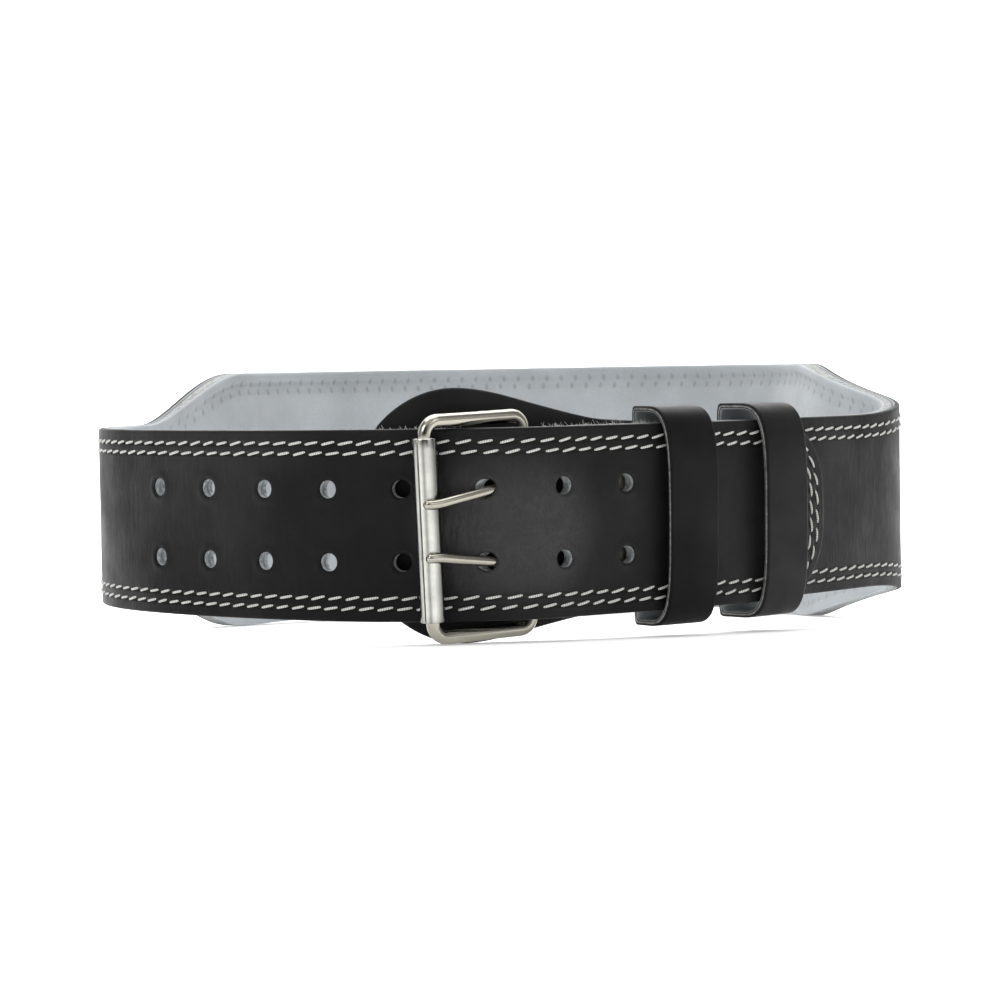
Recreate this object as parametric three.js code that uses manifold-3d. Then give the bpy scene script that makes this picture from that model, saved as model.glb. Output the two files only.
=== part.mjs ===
// A leather weightlifting belt, buckled into its loop and resting on its lower edges.
// Lengths are in millimetres and angles in degrees, with +Z up and the buckle at the front, towards -Y.
// Stations run along the belt from the buckle's inner bar, offsets run outward from the seam between
// the outer leather and its lining, and heights run up from the middle of the strap.
import * as THREE from "three";
import { mergeVertices } from "three/addons/utils/BufferGeometryUtils.js";
import Module from "manifold-3d";

// The leather
const STRAP_WIDTH = 63.5;
const LUMBAR_WIDTH = 101.6;
const LEATHER = 2.5;
const STRAP_LINING = 2.5;
const LUMBAR_LINING = 7;
const GAP = 0.3;

// Lengths along the belt, one after the other from the inner bar
const BUCKLE_STRAP = 153;
const BUCKLE_FLARE = 133;
const LUMBAR_LENGTH = 297;
const TONGUE_FLARE = 69;
const TONGUE_STRAP = 119;
const HOLE_PITCH = 25.4;
const HOLE_PAIRS = 8;
const TIP_PAST_HOLES = 95;
const TIP_RADIUS = 26;

// The holes, and how the belt is buckled
const HOLE_DIAMETER = 6;
const HOLE_ROWS_APART = 24.2;
const BUCKLED_PAIR = 6;
const HOLE_TO_BAR = 17.7;

// The buckle
const WIRE = 4.6;
const FRAME_PITCH = 38;
const FRAME_ROOM = 1.5;
const ROLLER_ROOM = 1;
const BAR_CORNER = 4.5;
const ROLLER_CORNER = 5;
const ROLLER_DIAMETER = 8.2;
const ROLLER_WALL = 1.4;
const ROLLER_SEAM = 0.7;
const ROLLER_SEAM_ANGLE = 20;
const FRAME_LEAN = 2;
const PRONG = 3.4;
const PRONG_PAST_ROLLER = 4.6;
const PRONG_ROOTS_APART = 28.4;
const PRONG_TIPS_APART = 17.5;
const SLOT_WIDTH = 9;
const FOLD_LENGTH = 22;
const FOLD_WIDTH = 60;

// The flap behind the buckle
const FLAP_LEATHER = 2.5;
const FLAP_REACH = 66;
const FLAP_LOBE = 85;
const FLAP_LOBE_LENGTH = 44;
const FLAP_WAIST = 65;
const FLAP_WAIST_AT = 38;
const FLAP_TAIL_WIDTH = 60;
const FLAP_TAIL_CORNER = 6;
const FLAP_RISE = 1.8;
const TAIL_PAST_KEEPER = 7;

// Rivets
const RIVET_HEAD = 12.6;
const RIVET_DOME = 1.8;
const RIVET_CAP = 1;
const RIVET_SHANK = 4;
const RIVET_ROWS_APART = 22;
const FIRST_RIVETS = 31.6;
const SECOND_RIVETS = 83;
const RETURN_PAST_RIVETS = 10;
const CAP_SEAT = 0.7;

// Keepers
const KEEPER_LEATHER = 2;
const KEEPER_WIDTH = 20.5;
const KEEPER_SLACK = 3.8;
const KEEPER_BULGE = 3.4;
const KEEPER_FRONT_ROUNDNESS = 4;
const KEEPER_BACK_ROUNDNESS = 16;
const REAR_KEEPER_SLIDE = 1.5;
const KEEPER_RIVET_HEAD = 10;
const KEEPER_RIVET_DROP = 8;

// The blank tab beside the flap's tail
const TAB_WIDTH = 9;
const TAB_HEIGHT = 24;
const TAB_THICKNESS = 0.8;
const TAB_TO_TAIL = 4;
const TAB_RISE = 5;

// The plan of the loop as a closed spline, in shares of its size, from just left of the buckle rightwards
const LOOP_PLAN = [
  { across: -0.122, back: -0.024 },
  { across: 0.011, back: 0.02 },
  { across: 0.246, back: 0.179 },
  { across: 0.44, back: 0.395 },
  { across: 0.514, back: 0.538 },
  { across: 0.467, back: 0.602 },
  { across: 0.419, back: 0.69 },
  { across: 0.413, back: 0.85 },
  { across: 0.232, back: 1.011 },
  { across: -0.05, back: 1.032 },
  { across: -0.297, back: 0.881 },
  { across: -0.459, back: 0.577 },
  { across: -0.505, back: 0.306 },
  { across: -0.332, back: 0.114 },
];
// The inner bar's place on the spline, as a share of the loop from where the table starts
const BAR_SHARE = 0.056;

const FLARE_START = BUCKLE_STRAP;
const LUMBAR_START = FLARE_START + BUCKLE_FLARE;
const LUMBAR_END = LUMBAR_START + LUMBAR_LENGTH;
const STRAP_AGAIN = LUMBAR_END + TONGUE_FLARE;
const FIRST_HOLE = STRAP_AGAIN + TONGUE_STRAP;
const BELT_END = FIRST_HOLE + (HOLE_PAIRS - 1) * HOLE_PITCH + TIP_PAST_HOLES;
const LOOP_LENGTH = FIRST_HOLE + (BUCKLED_PAIR - 1) * HOLE_PITCH + HOLE_TO_BAR;
const RETURN_END = FIRST_RIVETS + RETURN_PAST_RIVETS;
const FRONT_KEEPER = (FIRST_RIVETS + SECOND_RIVETS) / 2;
const REAR_KEEPER = SECOND_RIVETS + RIVET_HEAD / 2 + REAR_KEEPER_SLIDE + KEEPER_WIDTH / 2;
const FLAP_TAIL = REAR_KEEPER + KEEPER_WIDTH / 2 + TAIL_PAST_KEEPER;

// Offsets of the layers that pass over one another
const BAR_RADIUS = WIRE / 2;
const OVER_EYE = BAR_RADIUS + GAP + PRONG + GAP;
const TONGUE_OVER_BAR = OVER_EYE + STRAP_LINING + GAP;
const TONGUE_OVER_RIVETS = LEATHER + GAP + RIVET_DOME + GAP + STRAP_LINING + GAP;
const BODY_INSIDE = GAP + Math.max(LEATHER, STRAP_LINING);
const FLAP_ON_BODY = BODY_INSIDE + GAP;
const FLAP_ON_KEEPER = FLAP_ON_BODY + KEEPER_LEATHER + 2 * GAP;
const TONGUE_RISE_FROM = -44;
const TONGUE_RISE_TO = 2;
const STEP = 9;
const FINE_STEP = 4;

const wasm = await Module();
wasm.setup();

const { degToRad, smoothstep, lerp } = THREE.MathUtils;
const UP = new THREE.Vector3(0, 0, 1);

// The plan curve of the loop: a closed uniform cubic B-spline through the shares of the table
class BeltLoop extends THREE.Curve {
  constructor(size) {
    super();
    this.size = size;
    this.arcLengthDivisions = 2400;
  }

  getPoint(t, target = new THREE.Vector3()) {
    const count = LOOP_PLAN.length;
    const whole = Math.floor(t * count);
    const f = t * count - whole;
    const weights = [(1 - f) ** 3, 3 * f ** 3 - 6 * f ** 2 + 4, 1 + 3 * f + 3 * f ** 2 - 3 * f ** 3, f ** 3];
    target.set(0, 0, 0);
    weights.forEach((weight, k) => {
      const row = LOOP_PLAN[(whole + k - 1 + count) % count];
      target.x += (row.across * this.size * weight) / 6;
      target.y += (row.back * this.size * weight) / 6;
    });
    return target;
  }
}
const loop = new BeltLoop(LOOP_LENGTH / new BeltLoop(1).getLength());

// The loop's point, direction and outward normal at a station
function station(s) {
  const share = s / LOOP_LENGTH + BAR_SHARE;
  const u = share - Math.floor(share);
  const along = loop.getTangentAt(u);
  return { at: loop.getPointAt(u), along, out: new THREE.Vector3(along.y, -along.x, 0) };
}

function place(s, offset, height) {
  const { at, out } = station(s);
  return at.addScaledVector(out, offset).addScaledVector(UP, height);
}

// How far the tongue stands off the loop where it passes over the buckle and the strap
function tongueLift(s) {
  const past = s - LOOP_LENGTH;
  const rise = smoothstep(past, TONGUE_RISE_FROM, TONGUE_RISE_TO) * TONGUE_OVER_BAR;
  const settle = smoothstep(past, TONGUE_RISE_TO, FIRST_RIVETS - RIVET_HEAD / 2);
  return lerp(rise, TONGUE_OVER_RIVETS, settle);
}

// Half the belt's height at a station
function halfHeight(s) {
  const tip = BELT_END - s;
  if (tip < TIP_RADIUS) {
    const reach = Math.min(TIP_RADIUS - tip, TIP_RADIUS);
    return STRAP_WIDTH / 2 - TIP_RADIUS + Math.sqrt(TIP_RADIUS ** 2 - reach ** 2);
  }
  if (s < FOLD_LENGTH) {
    return lerp(FOLD_WIDTH, STRAP_WIDTH, smoothstep(s, 0, FOLD_LENGTH)) / 2;
  }
  const shallow = smoothstep(((s - FLARE_START) / BUCKLE_FLARE) ** 1.5 || 0, 0, 1);
  const flare = s < FLARE_START ? 0 : shallow;
  const narrow = 1 - smoothstep(s, LUMBAR_END, STRAP_AGAIN);
  return lerp(STRAP_WIDTH, LUMBAR_WIDTH, Math.min(flare, narrow)) / 2;
}

// The lining's thickness at a station, padded over the lumbar
function liningThickness(s) {
  const padded = Math.min(smoothstep(s, FLARE_START, LUMBAR_START), 1 - smoothstep(s, LUMBAR_END, STRAP_AGAIN));
  return lerp(STRAP_LINING, LUMBAR_LINING, padded);
}

// A triangle mesh of shared vertices whose faces point out
function closedGeometry(points, faces) {
  let volume = 0;
  for (const [a, b, c] of faces) {
    volume += points[a].dot(points[b].clone().cross(points[c]));
  }
  const turned = volume < 0 ? faces.map(([a, b, c]) => [a, c, b]) : faces;
  const geometry = new THREE.BufferGeometry();
  geometry.setAttribute("position", new THREE.Float32BufferAttribute(points.flatMap((p) => p.toArray()), 3));
  geometry.setIndex(turned.flat());
  return geometry;
}

// A solid lofted through rings with equal numbers of points, closed on itself or capped at its ends
function loft(rings, closed = false) {
  const size = rings[0].length;
  const faces = [];
  const spans = closed ? rings.length : rings.length - 1;
  for (let i = 0; i < spans; i += 1) {
    const here = i * size;
    const next = ((i + 1) % rings.length) * size;
    for (let j = 0; j < size; j += 1) {
      const k = (j + 1) % size;
      faces.push([here + j, here + k, next + k], [here + j, next + k, next + j]);
    }
  }
  if (!closed) {
    const last = (rings.length - 1) * size;
    for (let j = 1; j < size - 1; j += 1) {
      faces.push([0, j + 1, j], [last, last + j, last + j + 1]);
    }
  }
  return closedGeometry(rings.flat(), faces);
}

function bare(geometry) {
  const copy = geometry.clone();
  copy.deleteAttribute("normal");
  copy.deleteAttribute("uv");
  return mergeVertices(copy, 1e-4);
}

function solid(geometry) {
  const merged = bare(geometry);
  const vertProperties = Float32Array.from(merged.attributes.position.array);
  const triVerts = Uint32Array.from(merged.index.array);
  return new wasm.Manifold(new wasm.Mesh({ numProp: 3, vertProperties, triVerts }));
}

function fromSolid(manifold) {
  const mesh = manifold.getMesh();
  const geometry = new THREE.BufferGeometry();
  geometry.setAttribute("position", new THREE.Float32BufferAttribute(mesh.vertProperties, 3));
  geometry.setIndex(Array.from(mesh.triVerts));
  return geometry;
}

function cut(geometry, tools) {
  return fromSolid(tools.reduce((body, tool) => body.subtract(solid(tool)), solid(geometry)));
}

// Evenly stepped values from one end to the other, both included
function steps(from, to, step) {
  const count = Math.max(1, Math.ceil(Math.abs(to - from) / step));
  return Array.from({ length: count + 1 }, (_, i) => lerp(from, to, i / count));
}

// A section through a sheet of leather: inner and outer face at its lower and upper edge
const UPRIGHT = { s: 0, n: 0 };
function sheetRing(inner, outer, low, high, lean = UPRIGHT) {
  const corner = (face, height) => place(face.s + lean.s * height, face.n + lean.n * height, height);
  return [corner(inner, low), corner(outer, low), corner(outer, high), corner(inner, high)];
}

// Stations that the belt's long sheets are lofted through, closer together at the tip's round corners
function beltStations(from) {
  const straight = steps(FOLD_LENGTH, BELT_END - TIP_RADIUS, STEP);
  const corner = steps(0, 90, 15).slice(1).map((a) => BELT_END - TIP_RADIUS * (1 - Math.sin(degToRad(a))));
  return [from, ...straight.filter((s) => s > from + GAP), ...corner];
}

// The outer leather's path along its inner face: its return, the fold round the bar, then out to the tip
function leatherPath() {
  const fold = BAR_RADIUS + GAP;
  const back = [...steps(RETURN_END, FOLD_LENGTH, STEP), ...steps(FOLD_LENGTH, 0, FINE_STEP).slice(1, -1)]
    .map((s) => ({ s, n: -lerp(fold, GAP, smoothstep(s, 0, FOLD_LENGTH)) }));
  const round = steps(-90, -270, 30)
    .map((a) => ({ s: fold * Math.cos(degToRad(a)), n: fold * Math.sin(degToRad(a)) }));
  const front = steps(0, FOLD_LENGTH, FINE_STEP).slice(1)
    .map((s) => ({ s, n: lerp(fold, 0, smoothstep(s, 0, FOLD_LENGTH)) }));
  return [...back, ...round, ...front, ...tonguePath(FOLD_LENGTH).slice(1)];
}

// The seam between the outer leather and its lining, from a station to the tip
function tonguePath(from) {
  return beltStations(from).map((s) => ({ s, n: tongueLift(s) }));
}

// Rings of a layer between two offsets from a path, square to it
function layerRings(path, inside, outside, lean = () => UPRIGHT) {
  return path.map((point, i) => {
    const before = path[Math.max(i - 1, 0)];
    const after = path[Math.min(i + 1, path.length - 1)];
    const run = Math.hypot(after.s - before.s, after.n - before.n);
    const side = { s: (before.n - after.n) / run, n: (after.s - before.s) / run };
    const face = (offset) => ({ s: point.s + side.s * offset, n: point.n + side.n * offset });
    const half = halfHeight(point.s);
    return sheetRing(face(inside(point.s)), face(outside(point.s)), -half, half, lean(point.s));
  });
}

// The fold leans with the bar that it goes round
function leatherRings() {
  const { along, out } = station(0);
  const lean = (s) => {
    const share = 1 - smoothstep(s, 0, FOLD_LENGTH);
    return { s: buckle.up.dot(along) * share, n: buckle.up.dot(out) * share };
  };
  return layerRings(leatherPath(), () => 0, () => LEATHER, lean);
}

function liningRings() {
  return layerRings(tonguePath(RETURN_END + GAP), (s) => -GAP - liningThickness(s), () => -GAP);
}

// A turn that takes the Y axis to the given direction, as cylinders and lathes need
function alongDirection(geometry, direction, centre) {
  const turn = new THREE.Quaternion().setFromUnitVectors(new THREE.Vector3(0, 1, 0), direction);
  return geometry.applyQuaternion(turn).translate(centre.x, centre.y, centre.z);
}

// The tongue's outer face at a station: a point on it and the direction that it faces
function tongueFace(s) {
  const surface = (at) => place(at, tongueLift(at) + LEATHER, 0);
  const along = surface(s + 1).sub(surface(s - 1)).normalize();
  return { at: surface(s), out: new THREE.Vector3(along.y, -along.x, 0) };
}

// The cylinders that punch the pairs of holes through the outer leather and the lining
function holeTools() {
  const length = 4 * (LEATHER + STRAP_LINING);
  const tools = [];
  for (let pair = 0; pair < HOLE_PAIRS; pair += 1) {
    const face = tongueFace(FIRST_HOLE + pair * HOLE_PITCH);
    for (const row of [-1, 1]) {
      const centre = face.at.clone().addScaledVector(UP, (row * HOLE_ROWS_APART) / 2);
      const punch = new THREE.CylinderGeometry(HOLE_DIAMETER / 2, HOLE_DIAMETER / 2, length, 12);
      tools.push(alongDirection(punch, face.out, centre));
    }
  }
  return tools;
}

// The buckle's own axes: the bar's middle, the way to the roller, the way up the bar and the way out
function buckleFrame() {
  const bar = place(0, 0, 0);
  const rollerAt = (s) => {
    const face = tongueFace(LOOP_LENGTH + s);
    return face.at.addScaledVector(face.out, ROLLER_DIAMETER / 2 + ROLLER_ROOM);
  };
  let near = -FRAME_PITCH / 2;
  let far = -FRAME_PITCH * 1.5;
  for (let i = 0; i < 40; i += 1) {
    const middle = (near + far) / 2;
    if (rollerAt(middle).distanceTo(bar) < FRAME_PITCH) {
      near = middle;
    } else {
      far = middle;
    }
  }
  const level = rollerAt(near).sub(bar).normalize();
  const out = new THREE.Vector3(-level.y, level.x, 0);
  const toRoller = level.applyAxisAngle(out, degToRad(FRAME_LEAN));
  const up = UP.clone().applyAxisAngle(out, degToRad(FRAME_LEAN));
  const at = (a, b, c) => bar.clone().addScaledVector(toRoller, a).addScaledVector(up, b).addScaledVector(out, c);
  return { toRoller, up, out, at };
}
const buckle = buckleFrame();
const FRAME_HALF = STRAP_WIDTH / 2 + FRAME_ROOM + BAR_RADIUS;

// The frame's wire, swept round a rectangle whose corners are rounder at the roller
function frameGeometry() {
  const corners = [
    { a: BAR_CORNER, b: FRAME_HALF - BAR_CORNER, from: 180, radius: BAR_CORNER },
    { a: FRAME_PITCH - ROLLER_CORNER, b: FRAME_HALF - ROLLER_CORNER, from: 90, radius: ROLLER_CORNER },
    { a: FRAME_PITCH - ROLLER_CORNER, b: ROLLER_CORNER - FRAME_HALF, from: 0, radius: ROLLER_CORNER },
    { a: BAR_CORNER, b: BAR_CORNER - FRAME_HALF, from: -90, radius: BAR_CORNER },
  ];
  const rings = corners.flatMap(({ a, b, from, radius }) => steps(from, from - 90, 18).map((angle) => {
    const ca = Math.cos(degToRad(angle));
    const sa = Math.sin(degToRad(angle));
    return steps(0, 330, 30).map((turn) => {
      const reach = radius + BAR_RADIUS * Math.cos(degToRad(turn));
      return buckle.at(a + ca * reach, b + sa * reach, BAR_RADIUS * Math.sin(degToRad(turn)));
    });
  }));
  return loft(rings, true);
}

// The roller: a rolled sleeve, open along its seam, on the frame's outer bar
function rollerGeometry() {
  const outer = ROLLER_DIAMETER / 2;
  const inner = outer - ROLLER_WALL;
  const half = ROLLER_SEAM / 2;
  const sleeve = new THREE.Shape();
  const seam = degToRad(ROLLER_SEAM_ANGLE);
  sleeve.absarc(0, 0, outer, seam + half / outer, seam + 2 * Math.PI - half / outer, false);
  sleeve.absarc(0, 0, inner, seam + 2 * Math.PI - half / inner, seam + half / inner, true);
  const length = 2 * (FRAME_HALF - ROLLER_CORNER - GAP);
  const geometry = new THREE.ExtrudeGeometry(sleeve, { depth: length, bevelEnabled: false, curveSegments: 20 });
  geometry.translate(0, 0, -length / 2);
  const axes = new THREE.Matrix4().makeBasis(buckle.out.clone().cross(buckle.up), buckle.out, buckle.up);
  return geometry.applyMatrix4(axes.setPosition(buckle.at(FRAME_PITCH, 0, 0)));
}

// A prong's middle line: an eye round the bar, then a shank through its hole and over the roller
function prongPath(side) {
  const eye = BAR_RADIUS + GAP + PRONG / 2;
  const crest = ROLLER_DIAMETER / 2 + GAP + PRONG / 2;
  const root = (side * PRONG_ROOTS_APART) / 2;
  const tip = (side * PRONG_TIPS_APART) / 2;
  const round = steps(-140, 70, 21)
    .map((a) => buckle.at(-eye * Math.cos(degToRad(a)), root, eye * Math.sin(degToRad(a))));
  const shank = [
    { a: 0.22, c: 0.1 },
    { a: 0.5, c: 0.5 },
    { a: 0.8, c: 0.92 },
    { a: 1, c: 1 },
  ].map(({ a, c }) => buckle.at(a * FRAME_PITCH, lerp(root, tip, a), lerp(eye, crest, c)));
  const end = buckle.at(FRAME_PITCH + PRONG_PAST_ROLLER, tip, crest - GAP);
  return new THREE.CatmullRomCurve3([...round, ...shank, end], false, "centripetal");
}

function prongGeometry(side, radius = PRONG / 2) {
  const section = new THREE.Shape().absarc(0, 0, radius, 0, 2 * Math.PI, false);
  return new THREE.ExtrudeGeometry(section, {
    steps: 28, curveSegments: 5, bevelEnabled: false, extrudePath: prongPath(side),
  });
}

// The slots in the fold that the prongs' eyes stand in
function slotTools() {
  return [-1, 1].map((side) => {
    const box = new THREE.BoxGeometry(2 * OVER_EYE, 2 * OVER_EYE, SLOT_WIDTH);
    const axes = new THREE.Matrix4().makeBasis(buckle.toRoller, buckle.out, buckle.up);
    return box.applyMatrix4(axes.setPosition(buckle.at(0, (side * PRONG_ROOTS_APART) / 2, 0)));
  });
}

// How deep the flap's outer face lies inside the seam line as it passes the eyes, rivets and keeper
const FLAP_DEPTHS = [
  { s: -FLAP_REACH, depth: OVER_EYE + GAP },
  { s: 0, depth: OVER_EYE + GAP },
  { s: FIRST_RIVETS - RIVET_HEAD / 2, depth: FLAP_ON_BODY },
  { s: FIRST_RIVETS + RIVET_HEAD / 2, depth: FLAP_ON_BODY },
  { s: FRONT_KEEPER - KEEPER_WIDTH / 2 - GAP, depth: FLAP_ON_KEEPER },
  { s: FRONT_KEEPER + KEEPER_WIDTH / 2 + GAP, depth: FLAP_ON_KEEPER },
  { s: SECOND_RIVETS - RIVET_HEAD / 2, depth: FLAP_ON_BODY },
  { s: FLAP_TAIL, depth: FLAP_ON_BODY },
];

function flapDepth(s) {
  const next = Math.max(1, FLAP_DEPTHS.findIndex((row) => row.s > s));
  const row = FLAP_DEPTHS[next];
  const before = FLAP_DEPTHS[next - 1];
  return lerp(before.depth, row.depth, smoothstep(s, before.s, row.s));
}

// Half the flap's height: a round lobe, a waist and a tail with round corners
function flapHalf(s) {
  const lobeMiddle = FLAP_LOBE_LENGTH - FLAP_REACH;
  const reach = (lobeMiddle - s) / FLAP_LOBE_LENGTH;
  if (reach > 0) {
    return (FLAP_LOBE / 2) * Math.sqrt(Math.max(0, 1 - reach ** 2));
  }
  const waist = lerp(FLAP_LOBE, FLAP_WAIST, smoothstep(s, lobeMiddle, FLAP_WAIST_AT)) / 2;
  const tail = lerp(waist, FLAP_TAIL_WIDTH / 2, smoothstep(s, FLAP_WAIST_AT, REAR_KEEPER - KEEPER_WIDTH / 2));
  const corner = Math.max(0, FLAP_TAIL_CORNER - (FLAP_TAIL - s));
  return tail - FLAP_TAIL_CORNER + Math.sqrt(FLAP_TAIL_CORNER ** 2 - corner ** 2);
}

function flapRings() {
  const lobe = steps(8, 90, 10).map((a) => -FLAP_REACH + FLAP_LOBE_LENGTH * (1 - Math.cos(degToRad(a))));
  const bends = [FLAP_LOBE_LENGTH - FLAP_REACH, ...FLAP_DEPTHS.slice(1, -1).map((row) => row.s)];
  const middle = [...bends, FLAP_TAIL - FLAP_TAIL_CORNER]
    .flatMap((s, i, all) => (i ? steps(all[i - 1], s, FINE_STEP).slice(1) : []));
  const corner = steps(0, 90, 22.5).slice(1)
    .map((a) => FLAP_TAIL - FLAP_TAIL_CORNER * (1 - Math.sin(degToRad(a))));
  const pivot = (FIRST_RIVETS + SECOND_RIVETS) / 2;
  return [...lobe, ...middle, ...corner].map((s) => {
    const rise = (pivot - s) * Math.tan(degToRad(FLAP_RISE));
    const outer = { s, n: -flapDepth(s) };
    const inner = { s, n: outer.n - FLAP_LEATHER };
    return sheetRing(inner, outer, rise - flapHalf(s), rise + flapHalf(s));
  });
}

// Where a keeper's face stands at an angle round its loop: bowed out in front, flat at the back
function keeperPoint(angle, { back, front, half }) {
  const c = Math.cos(degToRad(angle));
  const z = Math.sin(degToRad(angle));
  const power = c > 0 ? KEEPER_FRONT_ROUNDNESS : KEEPER_BACK_ROUNDNESS;
  const reach = (Math.abs(c) ** power + Math.abs(z) ** power) ** (-1 / power);
  return { n: (c > 0 ? front * c : back * c) * reach, z: half * z * reach };
}

// A keeper: a flat band of leather closed round the layers between an inner and an outer offset
function keeperGeometry(middle, inside, outside) {
  const face = (skin) => ({
    back: -inside + skin,
    front: outside + KEEPER_BULGE + skin,
    half: STRAP_WIDTH / 2 + KEEPER_SLACK + skin,
  });
  const stations = steps(middle - KEEPER_WIDTH / 2, middle + KEEPER_WIDTH / 2, STEP);
  const rings = steps(0, 360, 9).slice(1).map((angle) => {
    const outer = keeperPoint(angle, face(KEEPER_LEATHER));
    const inner = keeperPoint(angle, face(0));
    return [
      ...stations.map((s) => place(s, outer.n, outer.z)),
      ...stations.map((s) => place(s, inner.n, inner.z)).reverse(),
    ];
  });
  return loft(rings, true);
}

// A rivet turned round its own axis: domed head, shank and flat cap, with heights along the axis
function rivetGeometry({ s, height, headSeat, capSeat, head, dome }) {
  const radius = head / 2;
  const shank = RIVET_SHANK / 2;
  const domed = steps(0, 90, 22.5).map((a) => new THREE.Vector2(
    radius * Math.cos(degToRad(a)),
    headSeat + dome * (0.25 + 0.75 * Math.sin(degToRad(a))),
  ));
  domed[domed.length - 1].x = 0;
  const profile = [
    new THREE.Vector2(0, capSeat - RIVET_CAP),
    new THREE.Vector2(radius * 0.92, capSeat - RIVET_CAP * 0.7),
    new THREE.Vector2(radius, capSeat),
    new THREE.Vector2(shank, capSeat),
    new THREE.Vector2(shank, headSeat),
    new THREE.Vector2(radius, headSeat),
    ...domed,
  ];
  return alongDirection(new THREE.LatheGeometry(profile, 14), station(s).out, place(s, 0, height));
}

// The belt's four rivets clamp the outer leather, its return or lining, and the flap
const beltRivets = [
  { name: "rivet_first_upper", s: FIRST_RIVETS, row: 1 },
  { name: "rivet_first_lower", s: FIRST_RIVETS, row: -1 },
  { name: "rivet_second_upper", s: SECOND_RIVETS, row: 1 },
  { name: "rivet_second_lower", s: SECOND_RIVETS, row: -1 },
].map(({ name, s, row }) => ({
  name,
  s,
  height: (row * RIVET_ROWS_APART) / 2,
  headSeat: LEATHER + GAP,
  capSeat: -(FLAP_ON_BODY + FLAP_LEATHER + CAP_SEAT),
  head: RIVET_HEAD,
  dome: RIVET_DOME,
}));

function shankTools(rivets) {
  const radius = RIVET_SHANK / 2 + GAP;
  return rivets.map(({ s, height, headSeat, capSeat }) => {
    const drill = new THREE.CylinderGeometry(radius, radius, headSeat - capSeat, 14);
    return alongDirection(drill, station(s).out, place(s, (headSeat + capSeat) / 2, height));
  });
}

// The keepers' inner and outer faces, and the one rivet that closes the rear keeper inside the loop
const TONGUE_OUTSIDE = TONGUE_OVER_RIVETS + LEATHER + 2 * GAP;
const REAR_INSIDE = -(FLAP_ON_BODY + FLAP_LEATHER + 2 * GAP);
const keeperRivet = {
  s: REAR_KEEPER,
  height: -KEEPER_RIVET_DROP,
  headSeat: REAR_INSIDE + GAP,
  capSeat: REAR_INSIDE - KEEPER_LEATHER - GAP * 2,
};

function keeperRivetGeometry() {
  const { s, height, headSeat, capSeat } = keeperRivet;
  const radius = KEEPER_RIVET_HEAD / 2;
  const domed = steps(90, 0, 18).map((a) => new THREE.Vector2(
    radius * Math.cos(degToRad(a)),
    capSeat - RIVET_DOME * (0.25 + 0.5 * Math.sin(degToRad(a))),
  ));
  domed[0].x = 0;
  const profile = [
    ...domed,
    new THREE.Vector2(radius, capSeat),
    new THREE.Vector2(RIVET_SHANK / 2, capSeat),
    new THREE.Vector2(RIVET_SHANK / 2, headSeat),
    new THREE.Vector2(0, headSeat),
  ];
  return alongDirection(new THREE.LatheGeometry(profile, 14), station(s).out, place(s, 0, height));
}

// The blank tab lies on the lining just past the flap's tail
function tabGeometry() {
  const outside = -(GAP + STRAP_LINING + GAP);
  const from = FLAP_TAIL + TAB_TO_TAIL;
  return loft(steps(from, from + TAB_WIDTH, FINE_STEP).map((s) => sheetRing(
    { s, n: outside - TAB_THICKNESS },
    { s, n: outside },
    TAB_RISE,
    TAB_RISE + TAB_HEIGHT,
  )));
}

const materials = {
  leather: new THREE.MeshStandardMaterial({ color: 0x1c1b1c, roughness: 0.5, metalness: 0 }),
  suede: new THREE.MeshStandardMaterial({ color: 0x9ba3a6, roughness: 0.95, metalness: 0 }),
  flap: new THREE.MeshStandardMaterial({ color: 0x232223, roughness: 0.6, metalness: 0 }),
  nickel: new THREE.MeshStandardMaterial({ color: 0xc9c6bd, roughness: 0.22, metalness: 1 }),
  brass: new THREE.MeshStandardMaterial({ color: 0xa39c84, roughness: 0.35, metalness: 1 }),
  tape: new THREE.MeshStandardMaterial({ color: 0xe4e4e2, roughness: 0.9, metalness: 0 }),
};

const belt = new THREE.Group();
function add(name, geometry, material) {
  const mesh = new THREE.Mesh(bare(geometry), material);
  mesh.name = name;
  belt.add(mesh);
}

const fatProngs = [-1, 1].map((side) => prongGeometry(side, PRONG / 2 + GAP));
const punches = [...holeTools(), ...fatProngs];
const drills = shankTools(beltRivets);

add("outer_leather", cut(loft(leatherRings()), [...punches, ...slotTools(), ...drills]), materials.leather);
add("suede_lining", cut(loft(liningRings()), [...punches, ...drills]), materials.suede);
add("buckle_flap", cut(loft(flapRings()), drills), materials.flap);
add("buckle_frame", frameGeometry(), materials.nickel);
add("roller", rollerGeometry(), materials.nickel);
add("prong_upper", prongGeometry(1), materials.nickel);
add("prong_lower", prongGeometry(-1), materials.nickel);
add("keeper_front", keeperGeometry(FRONT_KEEPER, -FLAP_ON_BODY, TONGUE_OUTSIDE), materials.leather);
add(
  "keeper_rear",
  cut(keeperGeometry(REAR_KEEPER, REAR_INSIDE, TONGUE_OUTSIDE), shankTools([keeperRivet])),
  materials.leather,
);
beltRivets.forEach((rivet) => add(rivet.name, rivetGeometry(rivet), materials.brass));
add("keeper_rivet", keeperRivetGeometry(), materials.nickel);
add("blank_tab", tabGeometry(), materials.tape);

// The belt comes to rest on the flap's lobe and on the lumbar's two lower corners
function restingFeet() {
  const below = (s, offset) => place(s, offset, -halfHeight(s));
  const lumbar = (from, to) => steps(from, to, 1).flatMap((s) => [below(s, LEATHER), below(s, -GAP - liningThickness(s))]);
  const middle = (LUMBAR_START + LUMBAR_END) / 2;
  return [flapRings().flat(), lumbar(FLARE_START, middle), lumbar(middle, STRAP_AGAIN)];
}

function lowest(points, up) {
  return points.reduce((best, point) => (point.dot(up) < best.dot(up) ? point : best));
}

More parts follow.
